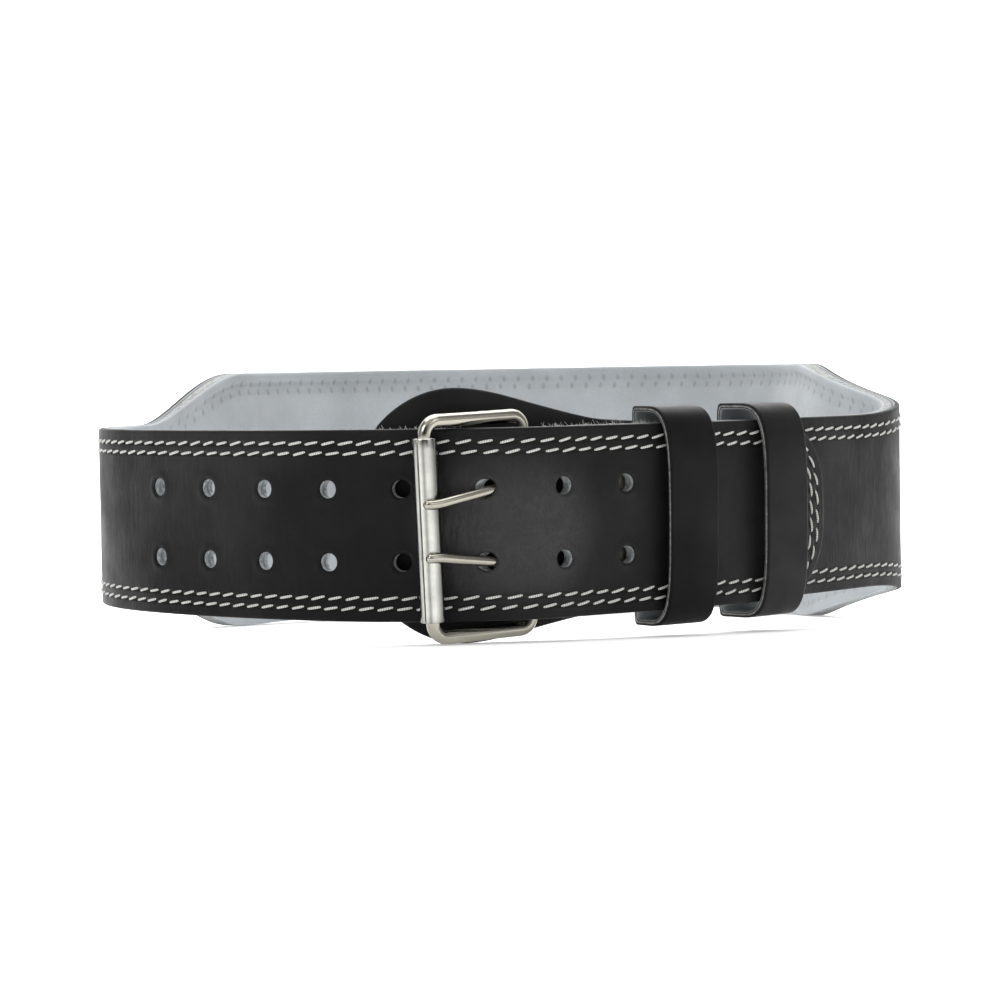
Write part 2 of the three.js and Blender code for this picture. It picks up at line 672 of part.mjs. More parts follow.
let up = UP.clone();
const feet = restingFeet();
for (let round = 0; round < 8; round += 1) {
  const [front, right, left] = feet.map((points) => lowest(points, up));
  up = right.clone().sub(front).cross(left.clone().sub(front)).normalize();
}
belt.quaternion.setFromUnitVectors(up, UP);
belt.updateMatrixWorld(true);
const box = new THREE.Box3().setFromObject(belt, true);
const middle = box.getCenter(new THREE.Vector3());
belt.position.set(-middle.x, -middle.y, -box.min.z);

export default belt;
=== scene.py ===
import math
import random

import bpy
import numpy as np
from mathutils import Matrix, Quaternion, Vector

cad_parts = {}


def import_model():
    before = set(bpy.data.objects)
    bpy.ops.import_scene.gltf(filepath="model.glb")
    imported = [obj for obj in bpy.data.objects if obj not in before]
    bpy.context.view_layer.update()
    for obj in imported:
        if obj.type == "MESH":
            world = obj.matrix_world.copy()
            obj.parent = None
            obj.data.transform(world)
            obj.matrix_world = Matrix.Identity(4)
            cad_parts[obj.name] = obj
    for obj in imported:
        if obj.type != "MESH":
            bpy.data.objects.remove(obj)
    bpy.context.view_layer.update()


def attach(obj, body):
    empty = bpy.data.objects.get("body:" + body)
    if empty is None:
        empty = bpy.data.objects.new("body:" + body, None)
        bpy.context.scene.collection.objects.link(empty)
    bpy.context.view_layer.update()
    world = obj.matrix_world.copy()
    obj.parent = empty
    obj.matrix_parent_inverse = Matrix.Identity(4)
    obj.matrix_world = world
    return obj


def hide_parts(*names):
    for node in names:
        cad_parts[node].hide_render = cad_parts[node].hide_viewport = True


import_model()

# The leather, as in the solids
STRAP_WIDTH = 63.5
LUMBAR_WIDTH = 101.6
LUMBAR_LENGTH = 297.0
LEATHER = 2.5
STRAP_LINING = 2.5
LUMBAR_LINING = 7.0
GAP = 0.3
FLARE_START = 153.0
BUCKLE_FLARE = 133.0
FLARE_CURVE = 1.5
TONGUE_FLARE = 69.0
HOLES_PAST_FLARE = 119.0
HOLE_PITCH = 25.4
HOLE_PAIRS = 8
BUCKLED_PAIR = 5
HOLE_RADIUS = 3.0
HOLE_ROWS_APART = 24.2
HOLE_TO_BAR = 17.7
TIP_PAST_HOLES = 95.0
TIP_RADIUS = 26.0
FOLD_LENGTH = 22.0
FOLD_WIDTH = 60.0
LUMBAR_START = FLARE_START + BUCKLE_FLARE
LUMBAR_END = LUMBAR_START + LUMBAR_LENGTH
STRAP_AGAIN = LUMBAR_END + TONGUE_FLARE
FIRST_HOLE = STRAP_AGAIN + HOLES_PAST_FLARE
LAST_HOLE = FIRST_HOLE + (HOLE_PAIRS - 1) * HOLE_PITCH
BUCKLED_HOLE = FIRST_HOLE + BUCKLED_PAIR * HOLE_PITCH
LOOP_LENGTH = BUCKLED_HOLE + HOLE_TO_BAR
BELT_END = LAST_HOLE + TIP_PAST_HOLES
# The stations past the bar between which the tongue rises over it
TONGUE_RISE = (-44.0, 2.0)

# The buckle
WIRE = 4.6
BAR_RADIUS = WIRE / 2
FRAME_PITCH = 38.0
FRAME_ROOM = 1.5
FRAME_HALF = STRAP_WIDTH / 2 + FRAME_ROOM + BAR_RADIUS
BAR_CORNER = 4.5
ROLLER_CORNER = 5.0
ROLLER_ROOM = 1.0
ROLLER_DIAMETER = 8.2
ROLLER_WALL = 1.4
ROLLER_SEAM = 0.7
ROLLER_SEAM_ANGLE = 20.0
FRAME_LEAN = 2.0
PRONG = 3.4
PRONG_PAST_ROLLER = 4.6
PRONG_ROOTS_APART = 28.4
PRONG_TIPS_APART = 17.5

# The flap, rivets, keepers and tab
FLAP_LEATHER = 2.5
FLAP_REACH = 66.0
FLAP_LOBE = 85.0
FLAP_LOBE_LENGTH = 44.0
FLAP_WAIST = 65.0
FLAP_WAIST_AT = 38.0
FLAP_TAIL_WIDTH = 60.0
FLAP_TAIL_CORNER = 6.0
FLAP_RISE = 1.8
RIVET_HEAD = 12.6
RIVET_DOME = 1.8
RIVET_ROWS_APART = 22.0
FIRST_RIVETS = 31.6
SECOND_RIVETS = 83.0
RIVET_SHANK = 2.0
RIVET_CAP_LIFT = 0.7
KEEPER_RIVET_RADIUS = 5.0
KEEPER_RIVET_HEIGHT = -8.0
RETURN_PAST_RIVETS = 10.0
RETURN_END = FIRST_RIVETS + RETURN_PAST_RIVETS
KEEPER_LEATHER = 2.0
KEEPER_WIDTH = 20.5
KEEPER_SLACK = 3.8
KEEPER_BULGE = 3.4
FRONT_KEEPER = (FIRST_RIVETS + SECOND_RIVETS) / 2
KEEPER_PAST_RIVETS = 1.5
REAR_KEEPER = SECOND_RIVETS + RIVET_HEAD / 2 + KEEPER_PAST_RIVETS + KEEPER_WIDTH / 2
TAIL_PAST_KEEPER = 7.0
FLAP_TAIL = REAR_KEEPER + KEEPER_WIDTH / 2 + TAIL_PAST_KEEPER
TAB_PAST_FLAP = 4.0
TAB_WIDTH = 9.0
TAB_HEIGHTS = (5.0, 29.0)
TAB_THICKNESS = 0.8
TAB_ROUND = 0.25
OVER_EYE = BAR_RADIUS + GAP + PRONG + GAP
TONGUE_OVER_BAR = OVER_EYE + STRAP_LINING + GAP
TONGUE_OVER_RIVETS = LEATHER + GAP + RIVET_DOME + GAP + STRAP_LINING + GAP
FLAP_ON_BODY = GAP + max(LEATHER, STRAP_LINING) + GAP
FLAP_ON_KEEPER = FLAP_ON_BODY + KEEPER_LEATHER + 2 * GAP
TONGUE_OUTSIDE = TONGUE_OVER_RIVETS + LEATHER + 2 * GAP
REAR_INSIDE = -(FLAP_ON_BODY + FLAP_LEATHER + 2 * GAP)

# The plan of the loop, in shares of its size, across and back, from just left of the buckle rightwards
LOOP_PLAN = np.array([
    (-0.122, -0.024), (0.011, 0.02), (0.246, 0.179), (0.44, 0.395), (0.514, 0.538),
    (0.467, 0.602), (0.419, 0.69), (0.413, 0.85), (0.232, 1.011), (-0.05, 1.032),
    (-0.297, 0.881), (-0.459, 0.577), (-0.505, 0.306), (-0.332, 0.114),
])
BAR_SHARE = 0.056

# How the belt rests, worked out with its solids
REST_TURN = Quaternion((0.9996903461, 0.0248767187, 0.0006006329, 0.0))
REST_SHIFT = Vector((-2.5194635, -146.7991927, 39.5014583))

# Stitching
STITCH_PITCH = 6.35
STITCH_LENGTH = 5.7
STITCH_ROWS = (4.4, 7.8)
ROW_STAGGER = 1.6
STITCH_LEAN = 11.0
STITCHED_FROM = 24.0
STITCH_HALF_WIDTH = 0.43
STITCH_HALF_DEPTH = 0.38

random.seed(7)


def lerp(a, b, t):
    return a + (b - a) * t


def unit(v):
    return v / np.linalg.norm(v, axis=-1, keepdims=True)


def arc_length(points):
    """How far along a line each of its points is."""
    return np.concatenate([[0], np.cumsum(np.linalg.norm(np.diff(points, axis=0), axis=1))])


def add(name, data):
    obj = bpy.data.objects.new(name, data)
    bpy.context.scene.collection.objects.link(obj)
    return obj


def plan(t):
    """Point and slope of the loop's plan, a uniform cubic B-spline, at spline parameters t."""
    whole = np.floor(t).astype(int)
    f = (t - whole)[..., None]
    rows = (whole[..., None] + np.arange(-1, 3)) % len(LOOP_PLAN)
    w = np.concatenate([(1 - f) ** 3, 3 * f**3 - 6 * f**2 + 4, 1 + 3 * f + 3 * f**2 - 3 * f**3, f**3], -1)
    d = np.concatenate([-3 * (1 - f) ** 2, 9 * f**2 - 12 * f, 3 + 6 * f - 9 * f**2, 3 * f**2], -1)
    knots = LOOP_PLAN[rows]
    return (knots * w[..., None]).sum(-2) / 6, (knots * d[..., None]).sum(-2) / 6


PLAN_T = np.linspace(0, len(LOOP_PLAN), len(LOOP_PLAN) * 300 + 1)
PLAN_AT = plan(PLAN_T)[0]
PLAN_ARC = arc_length(PLAN_AT)
LOOP_SIZE = LOOP_LENGTH / PLAN_ARC[-1]


def station(s):
    """Point, direction and outward direction of the loop at stations s."""
    share = (np.asarray(s, float) / LOOP_LENGTH + BAR_SHARE) % 1
    at, slope = plan(np.interp(share * PLAN_ARC[-1], PLAN_ARC, PLAN_T))
    along = unit(slope)
    out = np.stack([along[..., 1], -along[..., 0]], -1)
    return at * LOOP_SIZE, along, out


def place(s, n, z):
    """Points at stations, distances outward from the loop and heights."""
    s, n, z = np.broadcast_arrays(np.asarray(s, float), n, z)
    at, _, out = station(s)
    return np.concatenate([at + out * n[..., None], z[..., None]], -1)


REST = np.array(REST_TURN.to_matrix())


def world(points):
    """Points laid to rest on the floor, in metres."""
    return (np.asarray(points) @ REST.T + np.array(REST_SHIFT)) / 1000


def smooth(x, lo, hi):
    """0 up to lo, 1 from hi on, with a soft rise between."""
    t = np.clip((np.asarray(x, float) - lo) / (hi - lo), 0, 1)
    return t * t * (3 - 2 * t)


def tongue_lift(s):
    """How far the belt stands out from the loop, where its end lies over the buckle and the rivets."""
    past = np.asarray(s, float) - LOOP_LENGTH
    rise = smooth(past, *TONGUE_RISE) * TONGUE_OVER_BAR
    over_rivets = smooth(past, TONGUE_RISE[1], FIRST_RIVETS - RIVET_HEAD / 2)
    return lerp(rise, TONGUE_OVER_RIVETS, over_rivets)


def half_height(s):
    """Half the belt's width: fold, strap, lumbar, strap again and the round tip."""
    s = np.asarray(s, float)
    share = np.clip((s - FLARE_START) / BUCKLE_FLARE, 0, 1) ** FLARE_CURVE
    wide = np.minimum(smooth(share, 0, 1), 1 - smooth(s, LUMBAR_END, STRAP_AGAIN))
    half = lerp(STRAP_WIDTH, LUMBAR_WIDTH, wide) / 2
    fold = lerp(FOLD_WIDTH, STRAP_WIDTH, smooth(s, 0, FOLD_LENGTH)) / 2
    half = np.where(s < FOLD_LENGTH, fold, half)
    reach = np.clip(TIP_RADIUS - (BELT_END - s), 0, TIP_RADIUS)
    tip = STRAP_WIDTH / 2 - TIP_RADIUS + np.sqrt(TIP_RADIUS**2 - reach**2)
    return np.where(reach > 0, tip, half)


def lining_thickness(s):
    padded = np.minimum(smooth(s, FLARE_START, LUMBAR_START), 1 - smooth(s, LUMBAR_END, STRAP_AGAIN))
    return lerp(STRAP_LINING, LUMBAR_LINING, padded)


def seam_side(s):
    """The direction square to the seam between leather and lining, along and outward."""
    slope = tongue_lift(s + 0.5) - tongue_lift(s - 0.5)
    run = np.hypot(1, slope)
    return -slope / run, 1 / run


def belt_point(s, offset, z):
    """A point at an offset square to the seam between the outer leather and the lining."""
    side_s, side_n = seam_side(s)
    return place(s + side_s * offset, tongue_lift(s) + side_n * offset, z)


HALVINGS = 40


def buckle_axes():
    """The inner bar's middle, and the buckle's directions to its roller, upward and outward. The roller
    is sought where it just clears the tongue, one frame pitch from the bar."""
    bar = place(0.0, 0.0, 0.0)

    def roller_at(s):
        a, face, b = belt_point(LOOP_LENGTH + s + np.array([-1, 0, 1]), LEATHER, 0.0)
        along = unit(b - a)
        return face + np.array([along[1], -along[0], 0]) * (ROLLER_DIAMETER / 2 + ROLLER_ROOM)

    near, far = -FRAME_PITCH / 2, -FRAME_PITCH * 1.5
    for _ in range(HALVINGS):
        middle = (near + far) / 2
        if np.linalg.norm(roller_at(middle) - bar) < FRAME_PITCH:
            near = middle
        else:
            far = middle
    across = unit(roller_at(near) - bar)
    out = np.array([-across[1], across[0], 0])
    lean = np.array(Matrix.Rotation(math.radians(FRAME_LEAN), 3, Vector(out)))
    return bar, lean @ across, lean @ np.array([0, 0, 1.0]), out


BAR, TO_ROLLER, BUCKLE_UP, BUCKLE_OUT = buckle_axes()


def buckle(a, b, c):
    """Points on the buckle's own axes: toward the roller, upward and outward from the inner bar."""
    a, b, c = np.broadcast_arrays(np.asarray(a, float), b, c)
    return BAR + a[..., None] * TO_ROLLER + b[..., None] * BUCKLE_UP + c[..., None] * BUCKLE_OUT


# Meshes. The uv map "mm" holds the flat pattern, this many millimetres to its unit.
UV_UNIT = 50.0
FRONT_FACE, BACK_FACE, CUT_EDGE, HOLE_WALL = range(4)
# The rim round a hole: distance out from the hole, and how far the leather stands up there
RIM_RINGS = ((3.0, 0.0), (1.9, 0.12), (1.0, 0.28), (0.45, 0.16), (0.12, -0.18), (0.0, -0.55))
# An edge distance for the rims that keeps the marks of the stitching off them
PAST_STITCHING = 14.0


def piece(name, verts, faces, slots, mats=None, uvs=None, edge=None, slot=None, replaces=()):
    mesh = bpy.data.meshes.new(name)
    mesh.from_pydata([tuple(v) for v in world(verts)], [], [tuple(map(int, f)) for f in faces])
    for material in slots:
        mesh.materials.append(material)
    if mats is not None:
        mesh.polygons.foreach_set("material_index", np.asarray(mats, np.int32))
    mesh.polygons.foreach_set("use_smooth", np.ones(len(mesh.polygons), bool))
    if uvs is not None:
        layer = mesh.uv_layers.new(name="mm")
        loop_verts = np.zeros(len(mesh.loops), np.int32)
        mesh.loops.foreach_get("vertex_index", loop_verts)
        layer.data.foreach_set("uv", (np.asarray(uvs)[loop_verts] / UV_UNIT).astype(np.float32).ravel())
    if edge is not None:
        distance = mesh.attributes.new("edge", "FLOAT", "POINT")
        distance.data.foreach_set("value", np.asarray(edge, np.float32))
    mesh.validate()
    mesh.update()
    obj = add(name, mesh)
    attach(obj, "root")
    if replaces:
        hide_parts(*replaces)
    return obj


# Points measured at a time
CHUNK = 4000


def edge_distance(flat, outline):
    """How far each point of a flat pattern lies inside its outline."""
    a = outline
    b = np.roll(outline, -1, 0)
    d = b - a
    length = (d**2).sum(-1) + 1e-12
    p = flat.reshape(-1, 2)
    best = np.zeros(len(p))
    for i in range(0, len(p), CHUNK):
        q = p[i:i + CHUNK, None, :]
        t = np.clip(((q - a) * d).sum(-1) / length, 0, 1)
        near = np.hypot(*np.moveaxis(q - (a + t[..., None] * d), -1, 0))
        best[i:i + CHUNK] = near.min(1)
    return best.reshape(flat.shape[:2])


def rounded(e, radius):
    """How far a face falls back at an edge distance, for an edge of this radius."""
    inside = np.clip(radius - e, 0, radius)
    return radius - np.sqrt(radius**2 - inside**2)


def border(grid, k0, k1, j0, j1):
    """What a grid holds round a block of its cells, in order."""
    return np.concatenate([grid[k0:k1, j0], grid[k1, j0:j1], grid[k1:k0:-1, j1], grid[k0, j1:j0:-1]])


def slab(name, point, u, z, front, back, radius, slots, holes=(), slits=(), **more):
    """A sheet with two faces, rounded edges and rims round its holes. point(column, offset, z) gives
    positions, u and z are the flat pattern, and front and back give the offsets of the faces."""
    cols, rows = z.shape
    whole = (0, cols - 1, 0, rows - 1)
    flat = np.stack([np.repeat(u[:, None], rows, 1), z], -1)
    e = edge_distance(flat, border(flat, *whole))
    column = np.repeat(np.arange(cols, dtype=float)[:, None], rows, 1)
    lift = rounded(e, radius)
    faces_at = [front(column, e, z) - lift, back(column, e, z) + lift]
    verts = [point(column, offset, z).reshape(-1, 3) for offset in faces_at]
    uv = [flat.reshape(-1, 2)] * 2
    edges = [e.ravel()] * 2
    index = np.arange(cols * rows).reshape(cols, rows)
    other = index + cols * rows
    total = 2 * cols * rows
    keep = np.ones((cols - 1, rows - 1), bool)
    for k0, k1, j0, j1 in [hole["block"] for hole in holes] + list(slits):
        keep[k0:k1, j0:j1] = False
    ks, js = np.nonzero(keep)

    def cells(grid):
        return np.stack([grid[ks, js], grid[ks + 1, js], grid[ks + 1, js + 1], grid[ks, js + 1]], -1)

    faces = [cells(index), cells(other)[:, ::-1]]
    mats = [np.full(len(ks), FRONT_FACE), np.full(len(ks), BACK_FACE)]

    def wall(a, b, which):
        a, b = np.append(a, a[0]), np.append(b, b[0])
        faces.append(np.stack([a[:-1], b[:-1], b[1:], a[1:]], -1))
        mats.append(np.full(len(a) - 1, which))

    wall(border(index, *whole), border(other, *whole), CUT_EDGE)
    for slit in slits:
        wall(border(other, *slit), border(index, *slit), CUT_EDGE)
    for hole in holes:
        block = [border(grid, *hole["block"]) for grid in (index, other)]
        at_block = uv[0][block[0]]
        block_columns = column.ravel()[block[0]]
        for side in (FRONT_FACE, BACK_FACE):
            centre = np.array([hole["u"] + hole["shift"][side], hole["z"]])
            away = at_block - centre
            angle = np.arctan2(away[:, 1], away[:, 0])
            circle = centre + HOLE_RADIUS * np.stack([np.cos(angle), np.sin(angle)], -1)
            reach = np.linalg.norm(at_block - circle, axis=1)[:, None]
            for step, rise in RIM_RINGS:
                at = circle + (at_block - circle) * np.clip(step / reach, 0, 0.9)
                across = [at_block[:, 0].min(), at_block[:, 0].max()]
                share = np.interp(at[:, 0], across, [block_columns.min(), block_columns.max()])
                depth = np.interp(share, np.arange(cols), faces_at[side][:, hole["block"][2]])
                offset = depth + (rise if side == FRONT_FACE else -rise)
                verts.append(point(share, offset, at[:, 1]))
                uv.append(at)
                edges.append(np.full(len(at), PAST_STITCHING + step))
                ring = total + np.arange(len(at))
                total += len(at)
                if side == FRONT_FACE:
                    wall(ring, block[side], side)
                else:
                    wall(block[side], ring, side)
                block[side] = ring
        wall(block[BACK_FACE], block[FRONT_FACE], HOLE_WALL)
    return piece(name, np.concatenate(verts), np.concatenate(faces), slots, np.concatenate(mats),
                 np.concatenate(uv), np.concatenate(edges), **more)


def steps(a, b, step):
    """Numbers from a to b, about a step apart."""
    return np.linspace(a, b, max(1, math.ceil(abs(b - a) / step - 1e-6)) + 1)


def loft(rings, ring_shaped=False):
    """Faces between rings of points, with both ends capped unless the last ring joins the first."""
    rings = np.asarray(rings)
    m, n = rings.shape[:2]
    index = np.arange(m * n).reshape(m, n)
    a = np.concatenate([index, index[:1]]) if ring_shaped else index
    b = np.roll(a, -1, 1)
    faces = [tuple(f) for f in np.stack([a[:-1], b[:-1], b[1:], a[1:]], -1).reshape(-1, 4)]
    if not ring_shaped:
        faces += [tuple(index[0][::-1]), tuple(index[-1])]
    return rings.reshape(-1, 3), faces


def tube(points, radii, sides, ring_shaped=False):
    """Rings round a middle line, carried along it without twist."""
    p = np.asarray(points, float)
    ahead = np.roll(p, -1, 0) - np.roll(p, 1, 0) if ring_shaped else np.gradient(p, axis=0)
    t = unit(ahead)
    side = np.cross(t[0], (0.3, 0.2, 1.0))
    rings = []
    turn = np.linspace(0, 2 * np.pi, sides, endpoint=False)[:, None]
    for at, along, radius in zip(p, t, radii):
        side = unit(side - along * side.dot(along))
        rings.append(at + (np.cos(turn) * side + np.sin(turn) * np.cross(along, side)) * radius)
    return loft(rings, ring_shaped)


def joined(name, parts, slots, slot, replaces=()):
    """One piece from parts, each of vertices, faces and, where it has them, uvs."""
    verts, faces, uvs, total = [], [], [], 0
    for part_verts, part_faces, *part_uvs in parts:
        verts.append(part_verts)
        faces += [tuple(i + total for i in face) for face in part_faces]
        uvs.append(part_uvs[0] if part_uvs else np.zeros((len(part_verts), 2)))
        total += len(part_verts)
    return piece(name, np.concatenate(verts), faces, slots, uvs=np.concatenate(uvs), slot=slot,
                 replaces=replaces)


# Materials
class Graph:
    """The nodes of a new material or world, and the shader that they feed."""

    def __init__(self, name, kind="materials", shader="Principled BSDF"):
        self.data = getattr(bpy.data, kind).new(name)
        self.data.use_nodes = True
        self.tree = self.data.node_tree
        self.shader = self.tree.nodes[shader]

    def node(self, kind, values=(), **props):
        node = self.tree.nodes.new(kind)
        for key, value in props.items():
            setattr(node, key, value)
        for key, value in dict(values).items():
            self.feed(node.inputs[key], value)
        return node

    def feed(self, socket, value):
        if isinstance(value, bpy.types.NodeSocket):
            self.tree.links.new(value, socket)
        else:
            socket.default_value = value

    def set(self, **values):
        """Feeds the shader's sockets, with underscores for the spaces in their names."""
        for key, value in values.items():
            self.feed(self.shader.inputs[key.replace("_", " ")], value)
        return self.data

    def math(self, operation, *values):
        return self.node("ShaderNodeMath", dict(enumerate(values)), operation=operation).outputs[0]

    def plus(self, a, b):
        return self.math("ADD", a, b)

    def minus(self, a, b):
        return self.math("SUBTRACT", a, b)

    def times(self, a, b):
        return self.math("MULTIPLY", a, b)

    def over(self, a, b):
        return self.math("DIVIDE", a, b)

    def ramp(self, value, lo, hi, low=0.0, high=1.0):
        values = {0: value, 1: lo, 2: hi, 3: low, 4: high}
        return self.node("ShaderNodeMapRange", values, interpolation_type="SMOOTHSTEP").outputs[0]

    def mix(self, share, a, b, blend="MIX"):
        values = {0: share, 6: a, 7: b}
        return self.node("ShaderNodeMix", values, data_type="RGBA", blend_type=blend).outputs[2]

    def coordinates(self):
        return self.node("ShaderNodeTexCoord").outputs["Object"]

    def noise(self, scale, detail=2.0, roughness=0.5, vector=None):
        vector = self.coordinates() if vector is None else vector
        values = {"Vector": vector, "Scale": scale, "Detail": detail, "Roughness": roughness}
        return self.node("ShaderNodeTexNoise", values).outputs[0]

    def cell_walls(self, scale):
        """The distance from the walls between cells that fill space."""
        values = {"Vector": self.coordinates(), "Scale": scale}
        return self.node("ShaderNodeTexVoronoi", values, feature="DISTANCE_TO_EDGE").outputs[0]

    def pattern(self):
        """The flat pattern's two coordinates, in millimetres."""
        uv = self.node("ShaderNodeUVMap", uv_map="mm").outputs[0]
        parts = self.node("ShaderNodeSeparateXYZ", {0: uv}).outputs
        return self.times(parts[0], UV_UNIT), self.times(parts[1], UV_UNIT)

    def edge(self):
        """The distance in from the pattern's edge, in millimetres."""
        return self.node("ShaderNodeAttribute", attribute_name="edge").outputs["Fac"]

    def bump(self, height, distance, strength=1.0, normal=None):
        values = {"Height": height, "Distance": distance, "Strength": strength}
        if normal is not None:
            values["Normal"] = normal
        return self.node("ShaderNodeBump", values).outputs[0]


def stitch_field(g, reach_along, reach_across):
    """1 at the needle holes of both rows, 0 away from them."""
    along, _ = g.pattern()
    spots = []
    for row, depth in enumerate(STITCH_ROWS):
        pitches = g.over(g.minus(along, row * ROW_STAGGER), STITCH_PITCH)
        from_hole = g.times(g.minus(g.math("FRACT", g.plus(pitches, 0.5)), 0.5), STITCH_PITCH)
        x = g.over(from_hole, reach_along)
        y = g.over(g.minus(g.edge(), depth), reach_across)
        spots.append(g.ramp(g.plus(g.times(x, x), g.times(y, y)), 1.0, 0.0))
    return g.math("MAXIMUM", *spots)


def seam_groove(g):
    """1 along both rows of stitching, 0 away from them."""
    apart = [g.math("ABSOLUTE", g.minus(g.edge(), depth)) for depth in STITCH_ROWS]
    return g.math("MAXIMUM", *(g.ramp(distance, 1.3, 0.2) for distance in apart))


# The leather that the prongs have worn: how far past their holes its middle is, and its reach each way
WORN_PAST_HOLE = 8.0
WORN_REACH = (34.0, 30.0)


def worn_patch(g, along, across):
    """1 at the middle of the worn leather, 0 away from it."""
    x = g.over(g.minus(along, BUCKLED_HOLE + WORN_PAST_HOLE), WORN_REACH[0])
    y = g.over(across, WORN_REACH[1])
    return g.ramp(g.plus(g.times(x, x), g.times(y, y)), 1.0, 0.0)


def shade(tone, share=1.0):
    return (*(c * share for c in tone), 1)


def grain_leather(name, tone=0.008, stitched=True):
    g = Graph(name)
    broad = g.noise(18, 3, 0.55)
    dark, light = (tone * 0.8, tone * 0.78, tone * 0.82), (tone * 1.35, tone * 1.3, tone * 1.3)
    sheen = g.ramp(g.noise(14, 3, 0.5), 0.38, 0.68, 0.06, 0.16)
    normal = g.bump(g.ramp(g.cell_walls(1400), 0.0, 0.12), 0.00005, 0.35)
    normal = g.bump(g.noise(900, 4, 0.6), 0.00008, 0.35, normal)
    normal = g.bump(broad, 0.0012, 0.45, normal)
    if stitched:
        along, across = g.pattern()
        worn = worn_patch(g, along, across)
        sheen = g.plus(sheen, g.times(worn, 0.42))
        stretched = g.node("ShaderNodeCombineXYZ", {0: along, 1: g.times(across, 0.3)}).outputs[0]
        creases = g.times(g.noise(0.32, 5, 0.7, stretched), g.plus(worn, 0.12))
        normal = g.bump(creases, 0.0035, 0.6, normal)
        pull = g.plus(g.times(seam_groove(g), 0.5), g.times(stitch_field(g, 1.2, 1.1), 0.6))
        normal = g.bump(g.minus(1.0, pull), 0.0006, 0.8, normal)
    # The plain level stands wherever the linked one isn't carried over
    g.set(Specular_IOR_Level=0.11)
    return g.set(
        Base_Color=g.mix(g.ramp(broad, 0.35, 0.7), shade(dark), shade(light)),
        Roughness=g.ramp(g.noise(60, 4, 0.6), 0.3, 0.7, 0.4, 0.56),
        Specular_IOR_Level=sheen, Coat_Weight=0.04, Coat_Roughness=0.3, Normal=normal,
    )


def raw_edge(name, dark, pale):
    """The cut edge of leather: layers of fibre, darker where the dye has run in."""
    g = Graph(name)
    fibres = g.noise(700, 4, 0.7)
    return g.set(
        Base_Color=g.mix(g.ramp(fibres, 0.3, 0.7), shade(dark), shade(pale)),
        Roughness=0.9, Normal=g.bump(fibres, 0.0003, 0.6),
    )


def suede(name, tone, stitched=True):
    g = Graph(name)
    nap = g.noise(1100, 5, 0.75)
    patches = g.ramp(g.noise(26, 4, 0.6), 0.3, 0.72)
    base = g.mix(patches, shade(tone, 0.86), shade(tone, 1.1))
    base = g.mix(g.ramp(nap, 0.3, 0.75, 0.0, 0.35), base, shade(tone, 0.7))
    normal = g.bump(g.plus(g.times(nap, 0.5), g.times(g.noise(220, 4, 0.7), 0.5)), 0.00045, 0.7)
    if stitched:
        dimple_depth_and_shade = stitch_field(g, 1.1, 1.7)
        # The needle dimples are darkened in colour: painted shade in the dimples, beside their bump
        base = g.mix(g.times(dimple_depth_and_shade, 0.38), base, shade(tone, 0.4))
        normal = g.bump(g.minus(1.0, dimple_depth_and_shade), 0.0006, 0.3, normal)
        normal = g.bump(g.minus(1.0, seam_groove(g)), 0.0006, 0.25, normal)
    return g.set(
        Base_Color=base, Roughness=0.95, Normal=normal,
        Specular_IOR_Level=0.25, Sheen_Weight=0.25, Sheen_Roughness=0.6,
    )


# Bands of painted highlight and painted reflection round the sleeve, brighter and darker by turn: share of
# a turn, brightness
PAINTED_HIGHLIGHT_BANDS = (
    (0.0, 0.5), (0.06, 0.95), (0.1, 0.95), (0.14, 0.42), (0.175, 1.0), (0.21, 1.0), (0.29, 0.35),
    (0.42, 0.15), (0.88, 0.3),
)


def set_stops(color_ramp, levels):
    """Gives a new colour ramp, which has two stops, grey levels at these places."""
    for _ in levels[2:]:
        color_ramp.elements.new(0.5)
    for stop, (at, level) in zip(color_ramp.elements, levels):
        stop.position = at
        stop.color = (level, level, level, 1)


# Multiplies the colour by the bands of painted highlight and painted reflection along the sleeve
def with_painted_highlight_bands(g, base):
    around, _ = g.pattern()
    wander = g.times(g.minus(g.noise(30, 3), 0.5), 0.02)
    ramp = g.node("ShaderNodeValToRGB", {0: g.plus(around, wander)})
    set_stops(ramp.color_ramp, PAINTED_HIGHLIGHT_BANDS)
    return g.mix(1.0, base, ramp.outputs[0], "MULTIPLY")


def metal(name, tone, rough, worn=0.4, painted_bands=False):
    g = Graph(name)
    smear = g.noise(90, 5, 0.65)
    base = g.mix(g.ramp(smear, 0.4, 0.75), shade(tone), shade(tone, 1 - 0.3 * worn))
    height = g.plus(g.times(smear, 0.7), g.times(g.noise(1500, 3, 0.6), 0.3))
    return g.set(
        Base_Color=with_painted_highlight_bands(g, base) if painted_bands else base, Metallic=1.0,
        Roughness=g.ramp(smear, 0.3, 0.75, rough * 0.75, rough * 1.6),
        Normal=g.bump(height, 0.00012, 0.35),
    )


def thread(name):
    g = Graph(name)
    along, around = g.pattern()
    twist = g.math("SINE", g.plus(g.times(along, 7.5), g.times(around, 2 * math.pi)))
    # The twist's ridges are lighter and its grooves darker in colour: painted shade between the plies, on
    # the same pattern as the bump
    twist_ridges_and_shade = g.ramp(twist, -1.0, 1.0)
    return g.set(
        Base_Color=g.mix(twist_ridges_and_shade, (0.36, 0.36, 0.34, 1), (0.7, 0.7, 0.67, 1)),
        Roughness=0.7, Sheen_Weight=0.2,
        Normal=g.bump(g.plus(twist_ridges_and_shade, g.times(g.noise(2500, 3), 0.4)), 0.0001, 0.8),
    )


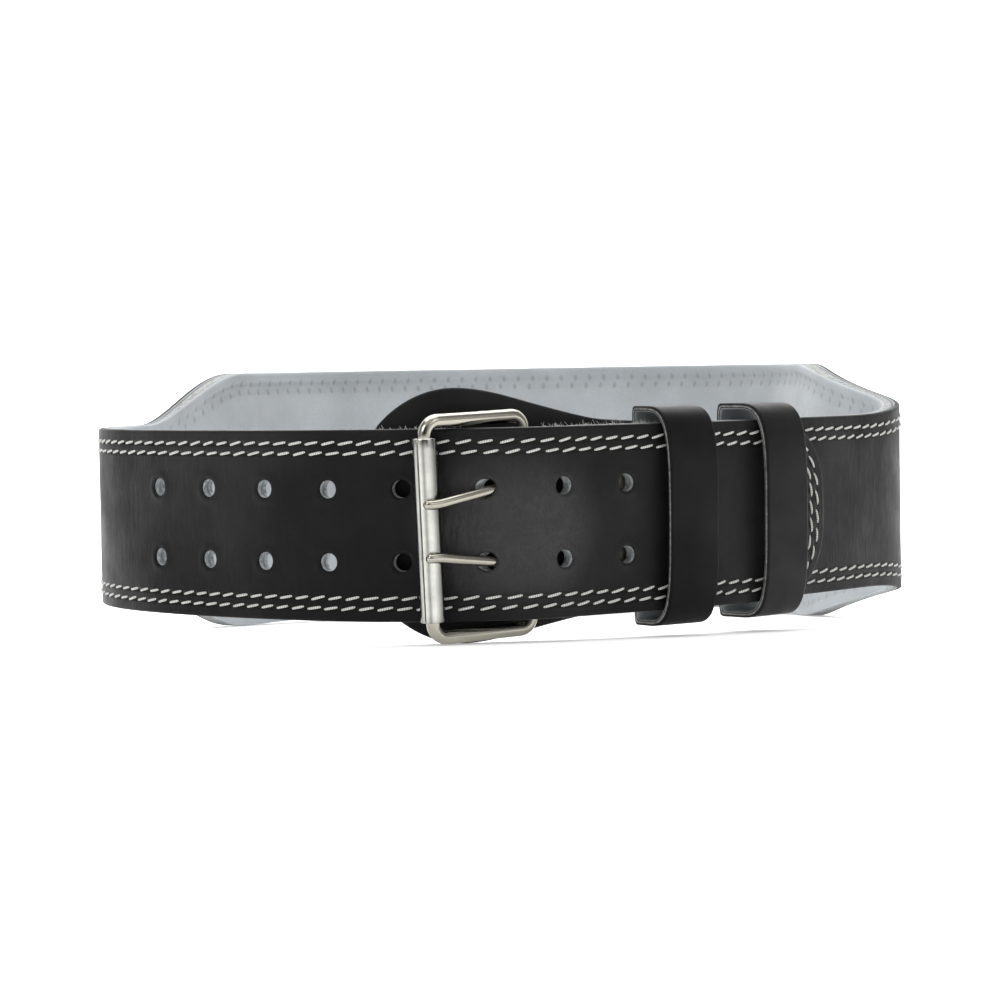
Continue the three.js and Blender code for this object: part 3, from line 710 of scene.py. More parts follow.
def plain_tape(name):
    g = Graph(name)
    along, across = g.pattern()
    # The weave's raised yarns are lighter and its dips darker in colour: painted shade, on the same pattern
    # as the bump
    weave_ridges_and_shade = g.times(g.math("SINE", g.times(along, 14.0)), g.math("SINE", g.times(across, 14.0)))
    return g.set(
        Base_Color=g.mix(g.ramp(weave_ridges_and_shade, -1.0, 1.0), (0.62, 0.62, 0.6, 1), (0.82, 0.82, 0.8, 1)),
        Roughness=0.85, Normal=g.bump(weave_ridges_and_shade, 0.0001, 0.5),
    )


black = grain_leather("belt_leather")
# The keepers' black leather, darkened below the belt's tone: painted shade
keeper_black_painted_shade = grain_leather("keeper_leather_painted_shade", 0.003, False)
# The flap's black leather, lighter than the belt's tone: painted light
flap_black_painted_light = grain_leather("flap_leather", 0.011, False)
dark_edge = raw_edge("dyed_edge", (0.02, 0.019, 0.018), (0.075, 0.07, 0.065))
pale_edge = raw_edge("raw_edge", (0.13, 0.13, 0.125), (0.36, 0.36, 0.35))
hole_edge = raw_edge("punched_edge", (0.16, 0.17, 0.175), (0.56, 0.59, 0.6))
flesh = suede("leather_back", (0.3, 0.32, 0.33), False)
lining_suede = suede("lining_suede", (0.42, 0.445, 0.465))
flap_suede = suede("flap_suede", (0.4, 0.43, 0.44), False)
suede_edge = raw_edge("suede_edge", (0.2, 0.205, 0.2), (0.42, 0.43, 0.42))
nickel = metal("nickel", (0.42, 0.4, 0.34), 0.16)
# The roller's nickel, with bands of painted highlight and painted reflection multiplied into its colour
nickel_painted_highlights = metal("nickel_painted_highlights", (0.6, 0.6, 0.56), 0.18, painted_bands=True)
rivet_brass = metal("rivet_metal", (0.48, 0.45, 0.37), 0.34, 0.8)
stitch_thread = thread("stitch_thread")
tape = plain_tape("blank_tape")

# Rows of a strap's pattern, by distance from its edge and then across its middle
EDGE_ROWS = np.array([0, 0.12, 0.35, 0.7, 1.1, 1.9, 2.9, 3.6, 4.2, 5.0, 6.2, 7.0, 7.7, 8.6, 10.2])
# A hole is punched in a square block of the pattern: half its side, and its cells along a side
HOLE_BLOCK = HOLE_PITCH / 4
HOLE_CELLS = 6
BLOCK_STEP = 2 * HOLE_BLOCK / HOLE_CELLS
INNER = HOLE_ROWS_APART / 2 - HOLE_BLOCK
OUTER = HOLE_ROWS_APART / 2 + HOLE_BLOCK
UPPER_ROWS = np.linspace(INNER, OUTER, HOLE_CELLS + 1)
MIDDLE_ROWS = np.concatenate([-UPPER_ROWS[::-1], np.linspace(-INNER, INNER, 6)[1:-1], UPPER_ROWS])
# How far apart the columns of a sheet stand, by what it does there
STRAIGHT_STEP = 2.6
RETURN_STEP = 2.5
BEND_STEP = 1.4
FLAP_STEP = 1.8
BEND_ANGLE_STEP = 12


def strap_rows(half):
    """Heights of the pattern's rows at each column, closer together at the edges."""
    half = np.asarray(half, float)[:, None]
    room = STRAP_WIDTH / 2 - OUTER
    middle = MIDDLE_ROWS * np.maximum((half - room) / (STRAP_WIDTH / 2 - room), 0.02)
    edge = EDGE_ROWS * np.minimum(half / (STRAP_WIDTH / 2), 1)
    return np.concatenate([-half + edge, middle, (half - edge)[:, ::-1]], 1)


def belt_columns(start):
    """Stations of the long sheets' columns, in step with the holes where they are punched."""
    first, last = FIRST_HOLE - HOLE_BLOCK, LAST_HOLE + HOLE_BLOCK
    tip = BELT_END - TIP_RADIUS
    corner = tip + TIP_RADIUS * np.sin(np.linspace(0, np.pi / 2, 15))
    punched = np.arange(round((last - first) / BLOCK_STEP) + 1) * BLOCK_STEP + first
    before, after = steps(start, first, STRAIGHT_STEP)[:-1], steps(last, tip, STRAIGHT_STEP)[1:-1]
    return np.concatenate([before, punched, after, corner])


def hole_list(columns, shift):
    """The punched holes, the buckled pair stretched along by shift on each face."""
    found = []
    for pair in range(HOLE_PAIRS):
        s = FIRST_HOLE + pair * HOLE_PITCH
        k0 = int(np.argmin(abs(columns - (s - HOLE_BLOCK))))
        for row in (-1, 1):
            j0 = len(EDGE_ROWS) + (0 if row < 0 else len(MIDDLE_ROWS) - len(UPPER_ROWS))
            block = (k0, k0 + HOLE_CELLS, j0, j0 + HOLE_CELLS)
            pull = shift if pair == BUCKLED_PAIR else (0.0, 0.0)
            found.append({"u": s, "z": row * HOLE_ROWS_APART / 2, "shift": pull, "block": block})
    return found


# How far the prongs have pulled their holes along, on the outer and inner face of each layer, and how
# round the edges of the layers are
LEATHER_PULL = (0.4, 2.0)
LINING_PULL = (3.0, 3.0)
LEATHER_ROUND = 0.75
LINING_ROUND = 0.9
FLAP_ROUND = 0.7
# A station without holes, for the columns of the return end and the bend
NO_HOLES = -1000.0


def sampler(columns):
    """Gives what stands at a column, whole or between two, such as its station."""
    ks = np.arange(len(columns))
    return lambda column: np.interp(column, ks, columns)


def level(depth):
    """A face of a sheet at one offset all over."""
    return lambda column, e, z: np.full_like(e, depth)


def outer_leather():
    """The leather from its return end round the bar to the tip. Its path is made of stations and
    distances outward, and near the bar the rows lean as the buckle does."""
    fold = BAR_RADIUS + GAP
    far_back, near_back = steps(RETURN_END, FOLD_LENGTH, RETURN_STEP), steps(FOLD_LENGTH, 0, BEND_STEP)
    back_s = np.concatenate([far_back, near_back[1:-1]])
    back = np.stack([back_s, -lerp(fold, GAP, smooth(back_s, 0, FOLD_LENGTH))], -1)
    angle = np.radians(steps(-90, -270, BEND_ANGLE_STEP))
    bend = np.stack([fold * np.cos(angle), fold * np.sin(angle)], -1)
    front_s = steps(0, FOLD_LENGTH, BEND_STEP)[1:]
    front = np.stack([front_s, lerp(fold, 0, smooth(front_s, 0, FOLD_LENGTH))], -1)
    rest_s = belt_columns(FOLD_LENGTH)[1:]
    path = np.concatenate([back, bend, front, np.stack([rest_s, tongue_lift(rest_s)], -1)])
    tangent = unit(np.gradient(path, axis=0))
    side = np.stack([-tangent[:, 1], tangent[:, 0]], -1)
    before = len(path) - len(rest_s)
    u = arc_length(path[:before + 1])
    u = np.concatenate([u[:before] - u[before] + rest_s[0], rest_s])
    _, along, out = station(0.0)
    buckle_lean = np.array([BUCKLE_UP[:2] @ along, BUCKLE_UP[:2] @ out])
    lean = (1 - smooth(path[:, 0], 0, FOLD_LENGTH))[:, None] * buckle_lean

    def at_column(column, table):
        return np.stack([sampler(table[:, i])(column) for i in (0, 1)], -1)

    def point(column, offset, z):
        at = at_column(column, path)
        at = at + at_column(column, side) * np.asarray(offset)[..., None]
        at = at + at_column(column, lean) * np.asarray(z)[..., None]
        return place(at[..., 0], at[..., 1], z)

    def wave(column, e, z):
        return LEATHER + 0.05 * np.sin(column * 0.11) * np.cos(z * 0.2)

    z = strap_rows(half_height(path[:, 0]))
    columns = np.concatenate([np.full(before, NO_HOLES), rest_s])
    slit_columns = [k for k in range(before) if path[k, 0] < OVER_EYE]
    low, high = len(EDGE_ROWS), len(EDGE_ROWS) + len(MIDDLE_ROWS)
    slits = [(slit_columns[0], slit_columns[-1], *rows) for rows in ((high - 5, high - 1), (low, low + 4))]
    return slab(
        "outer_leather_sheet", point, u, z, wave, level(0.0), LEATHER_ROUND,
        [black, flesh, dark_edge, hole_edge], hole_list(columns, LEATHER_PULL), slits,
        slot="black_leather", replaces=["outer_leather"],
    )


# The padded lining's pressed seam: distances in from its edge, and how far the suede stands there
PRESSED_AT = (0, 2.5, 4, 7.4, 9, 14, 24)
PRESSED_BY = (-0.7, -0.5, -1.9, -1.9, -1.2, 0.1, 0.4)


def lining():
    columns = belt_columns(RETURN_END + GAP)
    station_at = sampler(columns)
    z = strap_rows(half_height(columns))

    def point(column, offset, zz):
        return belt_point(station_at(column), offset, zz)

    def inner(column, e, zz):
        s = station_at(column)
        full = lining_thickness(s)
        padding = (full - STRAP_LINING) / (LUMBAR_LINING - STRAP_LINING)
        pressed = np.interp(e, PRESSED_AT, PRESSED_BY)
        ripple = 0.1 * np.sin(s * 0.35) * np.sin(zz * 0.3)
        return -GAP - full - padding * (pressed + ripple)

    return slab(
        "suede_lining_sheet", point, columns, z, level(-GAP), inner, LINING_ROUND,
        [flesh, lining_suede, suede_edge, hole_edge], hole_list(columns, LINING_PULL),
        slot="suede", replaces=["suede_lining"],
    )


# How deep the flap lies behind the loop, by station
FLAP_DEPTHS = np.array([
    (-FLAP_REACH, OVER_EYE + GAP),
    (0, OVER_EYE + GAP),
    (FIRST_RIVETS - RIVET_HEAD / 2, FLAP_ON_BODY),
    (FIRST_RIVETS + RIVET_HEAD / 2, FLAP_ON_BODY),
    (FRONT_KEEPER - KEEPER_WIDTH / 2 - GAP, FLAP_ON_KEEPER),
    (FRONT_KEEPER + KEEPER_WIDTH / 2 + GAP, FLAP_ON_KEEPER),
    (SECOND_RIVETS - RIVET_HEAD / 2, FLAP_ON_BODY),
    (FLAP_TAIL, FLAP_ON_BODY),
])
# Rows of the flap, as shares of its width
FLAP_EDGE_ROWS = np.array([0, 0.006, 0.018, 0.035, 0.06])
FLAP_ROWS = np.concatenate([FLAP_EDGE_ROWS, np.linspace(0.1, 0.9, 22), 1 - FLAP_EDGE_ROWS[::-1]])


def flap_depth(s):
    i = np.clip(np.searchsorted(FLAP_DEPTHS[:, 0], s, "right"), 1, len(FLAP_DEPTHS) - 1)
    s0, d0 = np.moveaxis(FLAP_DEPTHS[i - 1], -1, 0)
    s1, d1 = np.moveaxis(FLAP_DEPTHS[i], -1, 0)
    return lerp(d0, d1, smooth(s, s0, s1))


def flap_half(s):
    lobe_middle = FLAP_LOBE_LENGTH - FLAP_REACH
    reach = np.clip((lobe_middle - s) / FLAP_LOBE_LENGTH, 0, 1)
    lobe = FLAP_LOBE / 2 * np.sqrt(1 - reach**2)
    waist = lerp(FLAP_LOBE, FLAP_WAIST, smooth(s, lobe_middle, FLAP_WAIST_AT)) / 2
    tail = lerp(waist, FLAP_TAIL_WIDTH / 2, smooth(s, FLAP_WAIST_AT, REAR_KEEPER - KEEPER_WIDTH / 2))
    corner = np.clip(FLAP_TAIL_CORNER - (FLAP_TAIL - s), 0, FLAP_TAIL_CORNER)
    tail = tail - FLAP_TAIL_CORNER + np.sqrt(FLAP_TAIL_CORNER**2 - corner**2)
    return np.where(s < lobe_middle, lobe, tail)


def flap():
    lobe = -FLAP_REACH + FLAP_LOBE_LENGTH * (1 - np.cos(np.radians(np.linspace(3, 90, 40))))
    middle = steps(FLAP_LOBE_LENGTH - FLAP_REACH, FLAP_TAIL - FLAP_TAIL_CORNER, FLAP_STEP)[1:]
    corner = FLAP_TAIL - FLAP_TAIL_CORNER * (1 - np.sin(np.radians(np.linspace(0, 90, 9)[1:])))
    columns = np.concatenate([lobe, middle, corner])
    station_at = sampler(columns)
    rise = (FRONT_KEEPER - columns) * math.tan(math.radians(FLAP_RISE))
    z = rise[:, None] + flap_half(columns)[:, None] * (FLAP_ROWS * 2 - 1)

    def point(column, offset, zz):
        s = station_at(column)
        slope = flap_depth(s + 0.5) - flap_depth(s - 0.5)
        return place(s + slope * offset, offset - flap_depth(s), zz)

    return slab(
        "buckle_flap_sheet", point, columns, z, level(0.0), level(-FLAP_LEATHER), FLAP_ROUND,
        [flap_black_painted_light, flap_suede, dark_edge, dark_edge], slot="flap_leather", replaces=["buckle_flap"],
    )


def keeper_point(angle, back, front, half):
    """Outward distance and height on a keeper's section, squarer behind the belt than before it."""
    c, s = np.cos(angle), np.sin(angle)
    power = np.where(c > 0, 4, 16)
    reach = (abs(c) ** power + abs(s) ** power) ** (-1 / power)
    return np.where(c > 0, front, back) * c * reach, half * s * reach


# A keeper's rings, the shares of its wall between which raw fibre shows, its columns as shares of half
# its width, and how round its edges and how uneven its sides are
KEEPER_RINGS = 140
KEEPER_RING_STEP = 1.7
PALE_LINE = (0.3, 0.62)
KEEPER_SIDE = np.array([0.25, 0.55, 0.8, 0.9, 0.95, 0.985, 1])
KEEPER_COLUMNS = np.concatenate([-KEEPER_SIDE[::-1], [0], KEEPER_SIDE])
KEEPER_ROUND = 0.55
KEEPER_WOBBLE = 0.18


def keeper(name, middle, inside, outside, node):
    width = KEEPER_COLUMNS * KEEPER_WIDTH / 2
    soft = rounded(KEEPER_WIDTH / 2 - abs(width), KEEPER_ROUND)

    def band(angle, skin, fall):
        wobble = KEEPER_WOBBLE * math.sin(3 * angle + middle)
        back, front = -inside + skin, outside + KEEPER_BULGE + skin
        half = STRAP_WIDTH / 2 + KEEPER_SLACK + skin
        return [place(middle + w + wobble, *keeper_point(angle, back - d, front - d, half - d))
                for w, d in zip(width, fall)]

    rings = []
    for angle in np.linspace(0, 2 * np.pi, KEEPER_RINGS, endpoint=False):
        outer = band(angle, KEEPER_LEATHER, soft)
        inner = band(angle, 0, -soft * 0.6)[::-1]
        right_wall = [lerp(outer[-1], inner[0], share) for share in PALE_LINE]
        left_wall = [lerp(inner[-1], outer[0], 1 - share) for share in PALE_LINE[::-1]]
        rings.append(outer + right_wall + inner + left_wall)
    verts, faces = loft(rings, True)
    cells = len(width) - 1
    # The outer face, one wall's dark, raw and dark stripes, the inner face and the other wall's stripes
    mats = np.tile(np.repeat([0, 3, 1, 3, 2, 3, 1, 3], [cells, 1, 1, 1, cells, 1, 1, 1]), KEEPER_RINGS)
    across = np.concatenate([width, [width[-1]] * 2, width[::-1], [width[0]] * 2])
    around = np.repeat(np.arange(KEEPER_RINGS) * KEEPER_RING_STEP, len(across))
    uvs = np.stack([around, np.tile(across, KEEPER_RINGS)], -1)
    return piece(name, verts, faces, [keeper_black_painted_shade, pale_edge, flesh, dark_edge], mats, uvs,
                 slot="black_leather", replaces=[node])


WIRE_STEP = 2.5
WIRE_ANGLE_STEP = 7.5


def buckle_frame():
    points = []
    corners = [
        (BAR_CORNER, FRAME_HALF - BAR_CORNER, 180, BAR_CORNER),
        (FRAME_PITCH - ROLLER_CORNER, FRAME_HALF - ROLLER_CORNER, 90, ROLLER_CORNER),
        (FRAME_PITCH - ROLLER_CORNER, ROLLER_CORNER - FRAME_HALF, 0, ROLLER_CORNER),
        (BAR_CORNER, BAR_CORNER - FRAME_HALF, -90, BAR_CORNER),
    ]
    for a, b, start, radius in corners:
        for angle in np.radians(steps(start, start - 90, WIRE_ANGLE_STEP)):
            points.append(buckle(a + radius * math.cos(angle), b + radius * math.sin(angle), 0.0))
    dense = []
    for p, q in zip(points, points[1:] + points[:1]):
        count = max(1, int(np.linalg.norm(q - p) / WIRE_STEP))
        dense += [lerp(p, q, i / count) for i in range(count)]
    wire = tube(dense, np.full(len(dense), BAR_RADIUS), 28, True)
    return joined("frame_wire", [wire], [nickel], "nickel", ["buckle_frame"])


# The round of the sleeve's lips, as distances along from its end and in from its outside
ROLLER_LIP = ((0.0, 0.55), (0.12, 0.25), (0.35, 0.07), (0.7, 0.0))
SEAM_FALL = 0.12


def roller():
    outer = ROLLER_DIAMETER / 2
    inner = outer - ROLLER_WALL
    half = FRAME_HALF - ROLLER_CORNER - GAP
    seam = math.radians(ROLLER_SEAM_ANGLE)
    wide = ROLLER_SEAM / 2 / outer
    lip = [(half - back, outer - fall) for back, fall in ROLLER_LIP]
    profile = lip + [(h, outer) for h in np.linspace(half - 4, 4 - half, 8)]
    profile += [(-h, r) for h, r in lip[::-1]]
    profile += [(-half, inner + 0.15), (-half + 0.2, inner), (half - 0.2, inner), (half, inner + 0.15)]
    heights, reach = np.array(profile).T
    on_outside = reach > inner + 0.5
    angles = np.linspace(seam + wide, seam + 2 * math.pi - wide, 90)
    rings = []
    for angle in angles:
        at_seam = angle in (angles[0], angles[-1])
        r = np.where(on_outside & at_seam, reach - SEAM_FALL, reach)
        rings.append(buckle(FRAME_PITCH + r * math.cos(angle), heights, r * math.sin(angle)))
    verts, faces = loft(np.array(rings)[::-1])
    turn = np.repeat((angles[::-1] / (2 * math.pi)) % 1, len(profile))
    uvs = np.stack([turn, np.tile(heights, len(angles))], -1)
    return joined("roller_sleeve", [(verts, faces, uvs)], [nickel_painted_highlights], "nickel", ["roller"])


def catmull(points, per):
    """A centripetal Catmull-Rom curve through the points."""
    p = np.asarray(points, float)
    p = np.concatenate([[2 * p[0] - p[1]], p, [2 * p[-1] - p[-2]]])
    made = []
    for i in range(1, len(p) - 2):
        knots = [0.0]
        for a, b in ((i - 1, i), (i, i + 1), (i + 1, i + 2)):
            knots.append(knots[-1] + max(np.linalg.norm(p[b] - p[a]) ** 0.5, 1e-4))
        t0, t1, t2, t3 = knots
        for t in np.linspace(t1, t2, per, endpoint=False):
            a1 = lerp(p[i - 1], p[i], (t - t0) / (t1 - t0))
            a2 = lerp(p[i], p[i + 1], (t - t1) / (t2 - t1))
            a3 = lerp(p[i + 1], p[i + 2], (t - t2) / (t3 - t2))
            b1 = lerp(a1, a2, (t - t0) / (t2 - t0))
            b2 = lerp(a2, a3, (t - t1) / (t3 - t1))
            made.append(lerp(b1, b2, (t - t1) / (t2 - t1)))
    made.append(p[-2])
    return np.array(made)


# A prong's line, as shares of the way to the roller and of the rise from its eye to the roller's crest
PRONG_LINE = ((0.22, 0.1), (0.5, 0.5), (0.8, 0.92), (1, 1))
# Distances back from a prong's end, and the share of its thickness there
PRONG_END_AT = (0, 0.3, 0.9, 2.0, 6.0)
PRONG_END_SHARE = (0.5, 0.78, 0.9, 0.97, 1.0)


def prong(name, side, node):
    eye = BAR_RADIUS + GAP + PRONG / 2
    crest = ROLLER_DIAMETER / 2 + GAP + PRONG / 2
    root, tip = side * PRONG_ROOTS_APART / 2, side * PRONG_TIPS_APART / 2
    round_bar = np.radians(steps(-140, 70, 21))
    points = [buckle(-eye * math.cos(a), root, eye * math.sin(a)) for a in round_bar]
    for way, rise in PRONG_LINE:
        points.append(buckle(way * FRAME_PITCH, lerp(root, tip, way), lerp(eye, crest, rise)))
    points.append(buckle(FRAME_PITCH + PRONG_PAST_ROLLER, tip, crest - GAP))
    line = catmull(points, 6)
    arc = arc_length(line)
    radii = PRONG / 2 * np.interp(arc[-1] - arc, PRONG_END_AT, PRONG_END_SHARE)
    return joined(name, [tube(line, radii, 22)], [nickel], "nickel", [node])


def lathe(profile, s, height, sides=40):
    """A shape turned round the outward direction at a station, from radius and offset pairs."""
    at, along, out = station(np.array(s))
    centre = np.array([*at, height])
    axis, along3 = np.array([*out, 0]), np.array([*along, 0])
    cross = np.cross(axis, along3)
    rings = []
    for angle in np.linspace(0, 2 * np.pi, sides, endpoint=False):
        arm = along3 * math.cos(angle) + cross * math.sin(angle)
        rings.append([centre + arm * r + axis * n for r, n in profile])
    return loft(np.array(rings).transpose(1, 0, 2))


# A rivet's inner cap, as shares of its radius and distances from its seat, and its almost closed pole
RIVET_CAP = ((0.35, -0.98), (0.7, -0.9), (0.88, -0.7), (0.97, -0.4), (1.0, -0.12), (0.99, 0.0), (0.9, 0.05))
RIVET_CAP_DEPTH = 1.0
POLE = 0.02


def dome(radius, angles, seat, rise, share):
    """A domed head's profile, as radius and offset pairs."""
    return [(radius * math.cos(a), seat + rise * (0.25 + share * math.sin(a))) for a in np.radians(angles)]


def rivets():
    radius = RIVET_HEAD / 2
    head_seat = LEATHER + GAP
    cap_seat = -(FLAP_ON_BODY + FLAP_LEATHER + RIVET_CAP_LIFT)
    profile = [(POLE, cap_seat - RIVET_CAP_DEPTH)]
    profile += [(radius * share, cap_seat + rise) for share, rise in RIVET_CAP]
    profile += [(RIVET_SHANK, cap_seat + RIVET_CAP[-1][1])]
    profile += [(RIVET_SHANK, head_seat), (radius * 0.96, head_seat), (radius, head_seat + 0.15)]
    profile += dome(radius, [8, 20, 35, 50, 65, 80], head_seat, RIVET_DOME, 0.75)
    profile += [(POLE, head_seat + RIVET_DOME)]
    for pair, s in (("first", FIRST_RIVETS), ("second", SECOND_RIVETS)):
        for end, row in (("upper", 1), ("lower", -1)):
            turned = lathe(profile, s, row * RIVET_ROWS_APART / 2)
            node = f"rivet_{pair}_{end}"
            joined(node + "_turned", [turned], [rivet_brass], "rivet_metal", [node])


def keeper_rivet():
    seat = REAR_INSIDE - KEEPER_LEATHER - GAP * 2
    through = REAR_INSIDE + GAP
    profile = dome(KEEPER_RIVET_RADIUS, [88, 75, 60, 42, 25, 8], seat, -RIVET_DOME, 0.5)
    profile += [(KEEPER_RIVET_RADIUS, seat - 0.1), (KEEPER_RIVET_RADIUS * 0.96, seat)]
    profile += [(RIVET_SHANK, seat), (RIVET_SHANK, through), (POLE, through)]
    turned = lathe(profile, REAR_KEEPER, KEEPER_RIVET_HEIGHT)
    joined("keeper_rivet_turned", [turned], [nickel], "nickel", ["keeper_rivet"])


def stitch(middle, along, up, out, length):
    """One stitch: a slack capsule of thread whose ends dive into their needle holes."""
    rings, uvs = [], []
    turn = np.linspace(0, 2 * np.pi, 8, endpoint=False)
    cos, sin = np.cos(turn)[:, None], np.sin(turn)[:, None]
    section = cos * up * STITCH_HALF_WIDTH + sin * out * STITCH_HALF_DEPTH
    for x in (-1, -0.96, -0.8, -0.4, 0, 0.4, 0.8, 0.96, 1):
        swell = 0.5 + 0.5 * (1 - abs(x) ** 6)
        sink = 0.62 * abs(x) ** 3
        centre = middle + along * (x * length / 2) + out * (0.2 - sink)
        rings.append(centre + section * swell)
        uvs.append(np.stack([np.full(len(turn), x * length / 2), turn / (2 * np.pi)], -1))
    return *loft(rings), np.concatenate(uvs)


def stitches():
    """Both rows of stitching, along the edges and round the tip."""
    made = []

    def sew(s, z, tilt):
        at = belt_point(np.array(s), LEATHER, z)
        ahead = unit(belt_point(np.array(s + 1.0), LEATHER, z) - at)
        out = unit(np.cross(ahead, (0, 0, 1.0)))
        up = np.cross(out, ahead)
        angle = tilt + math.radians(STITCH_LEAN + random.uniform(-3, 3))
        along = ahead * math.cos(angle) + up * math.sin(angle)
        length = STITCH_LENGTH + random.uniform(-0.3, 0.2)
        made.append(stitch(at, along, np.cross(out, along), out, length))

    tip = BELT_END - TIP_RADIUS
    middle = STRAP_WIDTH / 2 - TIP_RADIUS
    straight = 2 * middle
    for row, depth in enumerate(STITCH_ROWS):
        stagger = row * ROW_STAGGER
        first = math.ceil(STITCHED_FROM / STITCH_PITCH)
        last = int((tip - 1 - stagger) / STITCH_PITCH - 0.5)
        for side in (-1, 1):
            for k in range(first, last + 1):
                s = (k + 0.5) * STITCH_PITCH + stagger
                slope = float(half_height(s + 1) - half_height(s - 1)) / 2 * side
                z = side * (float(half_height(s)) - depth * math.hypot(1, slope))
                sew(s, z, math.atan(slope))
        corner = TIP_RADIUS - depth
        quarter = math.pi / 2 * corner
        length = math.pi * corner + straight
        number = round(length / STITCH_PITCH)
        for k in range(number):
            way = (k + 0.5) / number * length
            rise = min(max(way - quarter, 0), straight)
            angle = (way - rise) / corner
            sew(tip + corner * math.sin(angle), rise - middle - corner * math.cos(angle), angle)
    return joined("edge_stitching", made, [stitch_thread], "suede")


# Where loose fibres show: from which station, from and to how far along, and how many
FUZZ = (
    (LOOP_LENGTH, -62, -24, 60), (LOOP_LENGTH, 2, 52, 90), (LOOP_LENGTH, -150, -60, 24),
    (0, 130, 300, 26), (0, 300, 600, 40),
)


def fuzz():
    """Loose fibres along the tongue's upper edge and beside the flap."""
    made = []
    for origin, start, end, count in FUZZ:
        for _ in range(count):
            s = random.uniform(start, end) + origin
            n = random.uniform(-GAP - 1.8, 0.2)
            root = belt_point(np.array(s), n, float(half_height(s)) - 0.25)
            lean = unit([random.uniform(-1, 1), random.uniform(-0.6, 0.6), random.uniform(0.15, 0.8)])
            curl = np.array([random.uniform(-1, 1), random.uniform(-1, 1), random.uniform(-0.5, 0.8)])
            reach = random.uniform(0.7, 2.0)
            line = [root + lean * reach * t + curl * reach * 0.45 * t * t for t in (0, 0.35, 0.7, 1)]
            made.append(tube(line, [0.07, 0.06, 0.05, 0.02], 4))
    return joined("edge_fuzz", made, [stitch_thread], "suede")


def tab():
    outside = -(GAP + STRAP_LINING + GAP)
    columns = FLAP_TAIL + TAB_PAST_FLAP + np.linspace(0, TAB_WIDTH, 13)
    z = np.repeat(np.linspace(*TAB_HEIGHTS, 25)[None], len(columns), 0)
    station_at = sampler(columns)

    def point(column, offset, zz):
        return place(station_at(column), outside + offset, zz)

    return slab(
        "blank_tab_tape", point, columns, z, level(0.0), level(-TAB_THICKNESS), TAB_ROUND,
        [tape, tape, tape, tape], slot="label_tape", replaces=["blank_tab"],
    )


outer_leather()
pad = lining()
flap()
keeper("keeper_front_band", FRONT_KEEPER, -FLAP_ON_BODY, TONGUE_OUTSIDE, "keeper_front")
keeper("keeper_rear_band", REAR_KEEPER, REAR_INSIDE, TONGUE_OUTSIDE, "keeper_rear")
buckle_frame()
roller()
prong("prong_upper_wire", 1, "prong_upper")
prong("prong_lower_wire", -1, "prong_lower")
rivets()
keeper_rivet()
stitches()
fuzz()
tab()


# The studio, in metres: the floor's reach to the sides and the front, where it bends up behind the
# belt, the bend's radius and the backdrop's top
FLOOR_REACH = 20.0
FLOOR_BACK = 1.2
FLOOR_BEND = 0.8
BACKDROP_TOP = 4.0
# Lights: name, place, what they face, size and power
LIGHTS = (
    ("top_light", (0, 0.1, 1.5), (0, 0, 0), (1.6, 1.6), 19),
    ("front_left", (-1.1, -1.5, 1.15), (0, -0.05, 0.05), (0.9, 0.9), 9),
    ("front_right", (1.3, -1.2, 0.95), (0, -0.05, 0.05), (0.5, 0.9), 1.5),
    ("backdrop_light", (0, 0.9, 1.9), (0, 2.2, 0.5), (2.4, 0.8), 55),
)
# The room's brightness by direction, from the dark side where the camera stands to the paper behind
ROOM = (
    (0.0, 0.04), (0.05, 0.1), (0.14, 0.75), (0.25, 0.7), (0.4, 0.26), (0.55, 0.36), (0.8, 0.6), (1.0, 0.8),
)
# The camera: its place in the belt's own frame, in millimetres, before the belt is laid to rest, how far
# it looks down and rolls, in radians, and its lens and sensor
CAMERA_AT = (0.0, -1014.8, 52.1)
CAMERA_PITCH = 0.0442
CAMERA_ROLL = 0.017
CAMERA_LENS = 110.7
CAMERA_SENSOR = 36.0


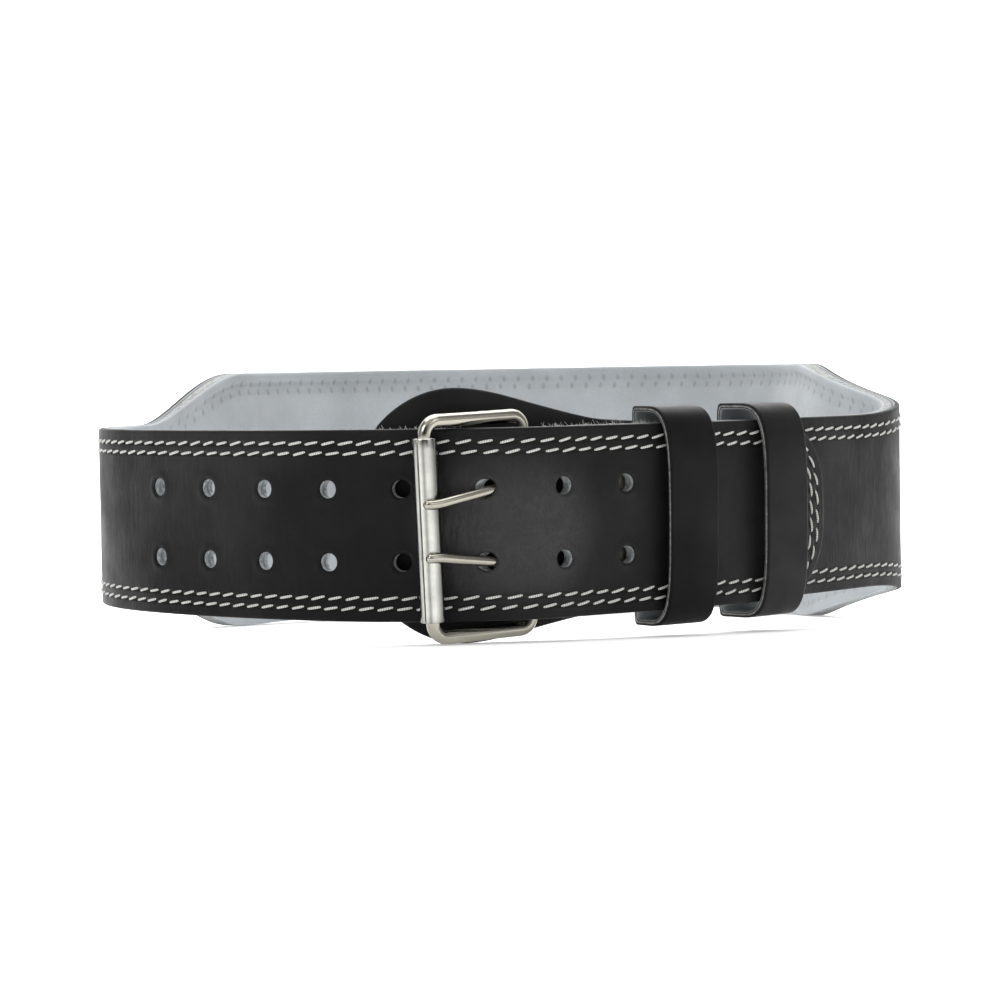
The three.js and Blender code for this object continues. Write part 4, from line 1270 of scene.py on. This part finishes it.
def backdrop():
    paper = Graph("studio_paper").set(
        Base_Color=(0.9, 0.9, 0.9, 1), Roughness=0.9, Specular_IOR_Level=0.1,
        Emission_Color=(1, 1, 1, 1), Emission_Strength=0.3,
    )
    profile = [(-FLOOR_REACH, 0.0), (FLOOR_BACK, 0.0)]
    for a in np.radians(np.arange(10, 91, 10)):
        profile.append((FLOOR_BACK + FLOOR_BEND * math.sin(a), FLOOR_BEND - FLOOR_BEND * math.cos(a)))
    profile += [(FLOOR_BACK + FLOOR_BEND, BACKDROP_TOP)]
    verts = [(x, y, z) for x in (-FLOOR_REACH, FLOOR_REACH) for y, z in profile]
    n = len(profile)
    mesh = bpy.data.meshes.new("studio_floor")
    mesh.from_pydata(verts, [], [(i, n + i, n + i + 1, i + 1) for i in range(n - 1)])
    mesh.polygons.foreach_set("use_smooth", np.ones(n - 1, bool))
    mesh.materials.append(paper)
    add("studio_floor", mesh)


def area_light(name, at, target, size, power):
    light = bpy.data.lights.new(name, "AREA")
    light.shape = "RECTANGLE"
    light.size, light.size_y = size
    light.energy = power
    obj = add(name, light)
    obj.location = at
    obj.rotation_euler = (Vector(target) - Vector(at)).to_track_quat("-Z", "Y").to_euler()


def room():
    g = Graph("studio", "worlds", "Background")
    direction = g.node("ShaderNodeTexCoord").outputs["Generated"]
    back = g.node("ShaderNodeSeparateXYZ", {0: direction}).outputs["Y"]
    share = g.node("ShaderNodeMapRange", {"Value": back, "From Min": -1}).outputs[0]
    ramp = g.node("ShaderNodeValToRGB", {0: share})
    set_stops(ramp.color_ramp, ROOM)
    bpy.context.scene.world = g.set(Color=ramp.outputs[0])


def camera():
    pitch_c, pitch_s = math.cos(CAMERA_PITCH), math.sin(CAMERA_PITCH)
    roll_c, roll_s = math.cos(CAMERA_ROLL), math.sin(CAMERA_ROLL)
    ahead = np.array([0, pitch_c, -pitch_s])
    above = np.array([0, pitch_s, pitch_c])
    right = np.array([1.0, 0, 0])
    axes = REST @ np.stack([right * roll_c - above * roll_s, right * roll_s + above * roll_c, -ahead], -1)
    at = world(np.array(CAMERA_AT))
    data = bpy.data.cameras.new("camera")
    data.lens = CAMERA_LENS
    data.sensor_width = CAMERA_SENSOR
    data.clip_start = 0.05
    obj = add("camera", data)
    obj.matrix_world = Matrix([[*axes[i], at[i]] for i in range(3)] + [[0, 0, 0, 1]])
    bpy.context.scene.camera = obj


backdrop()
for row in LIGHTS:
    area_light(*row)
room()
bpy.context.scene.view_settings.view_transform = "Standard"
camera()
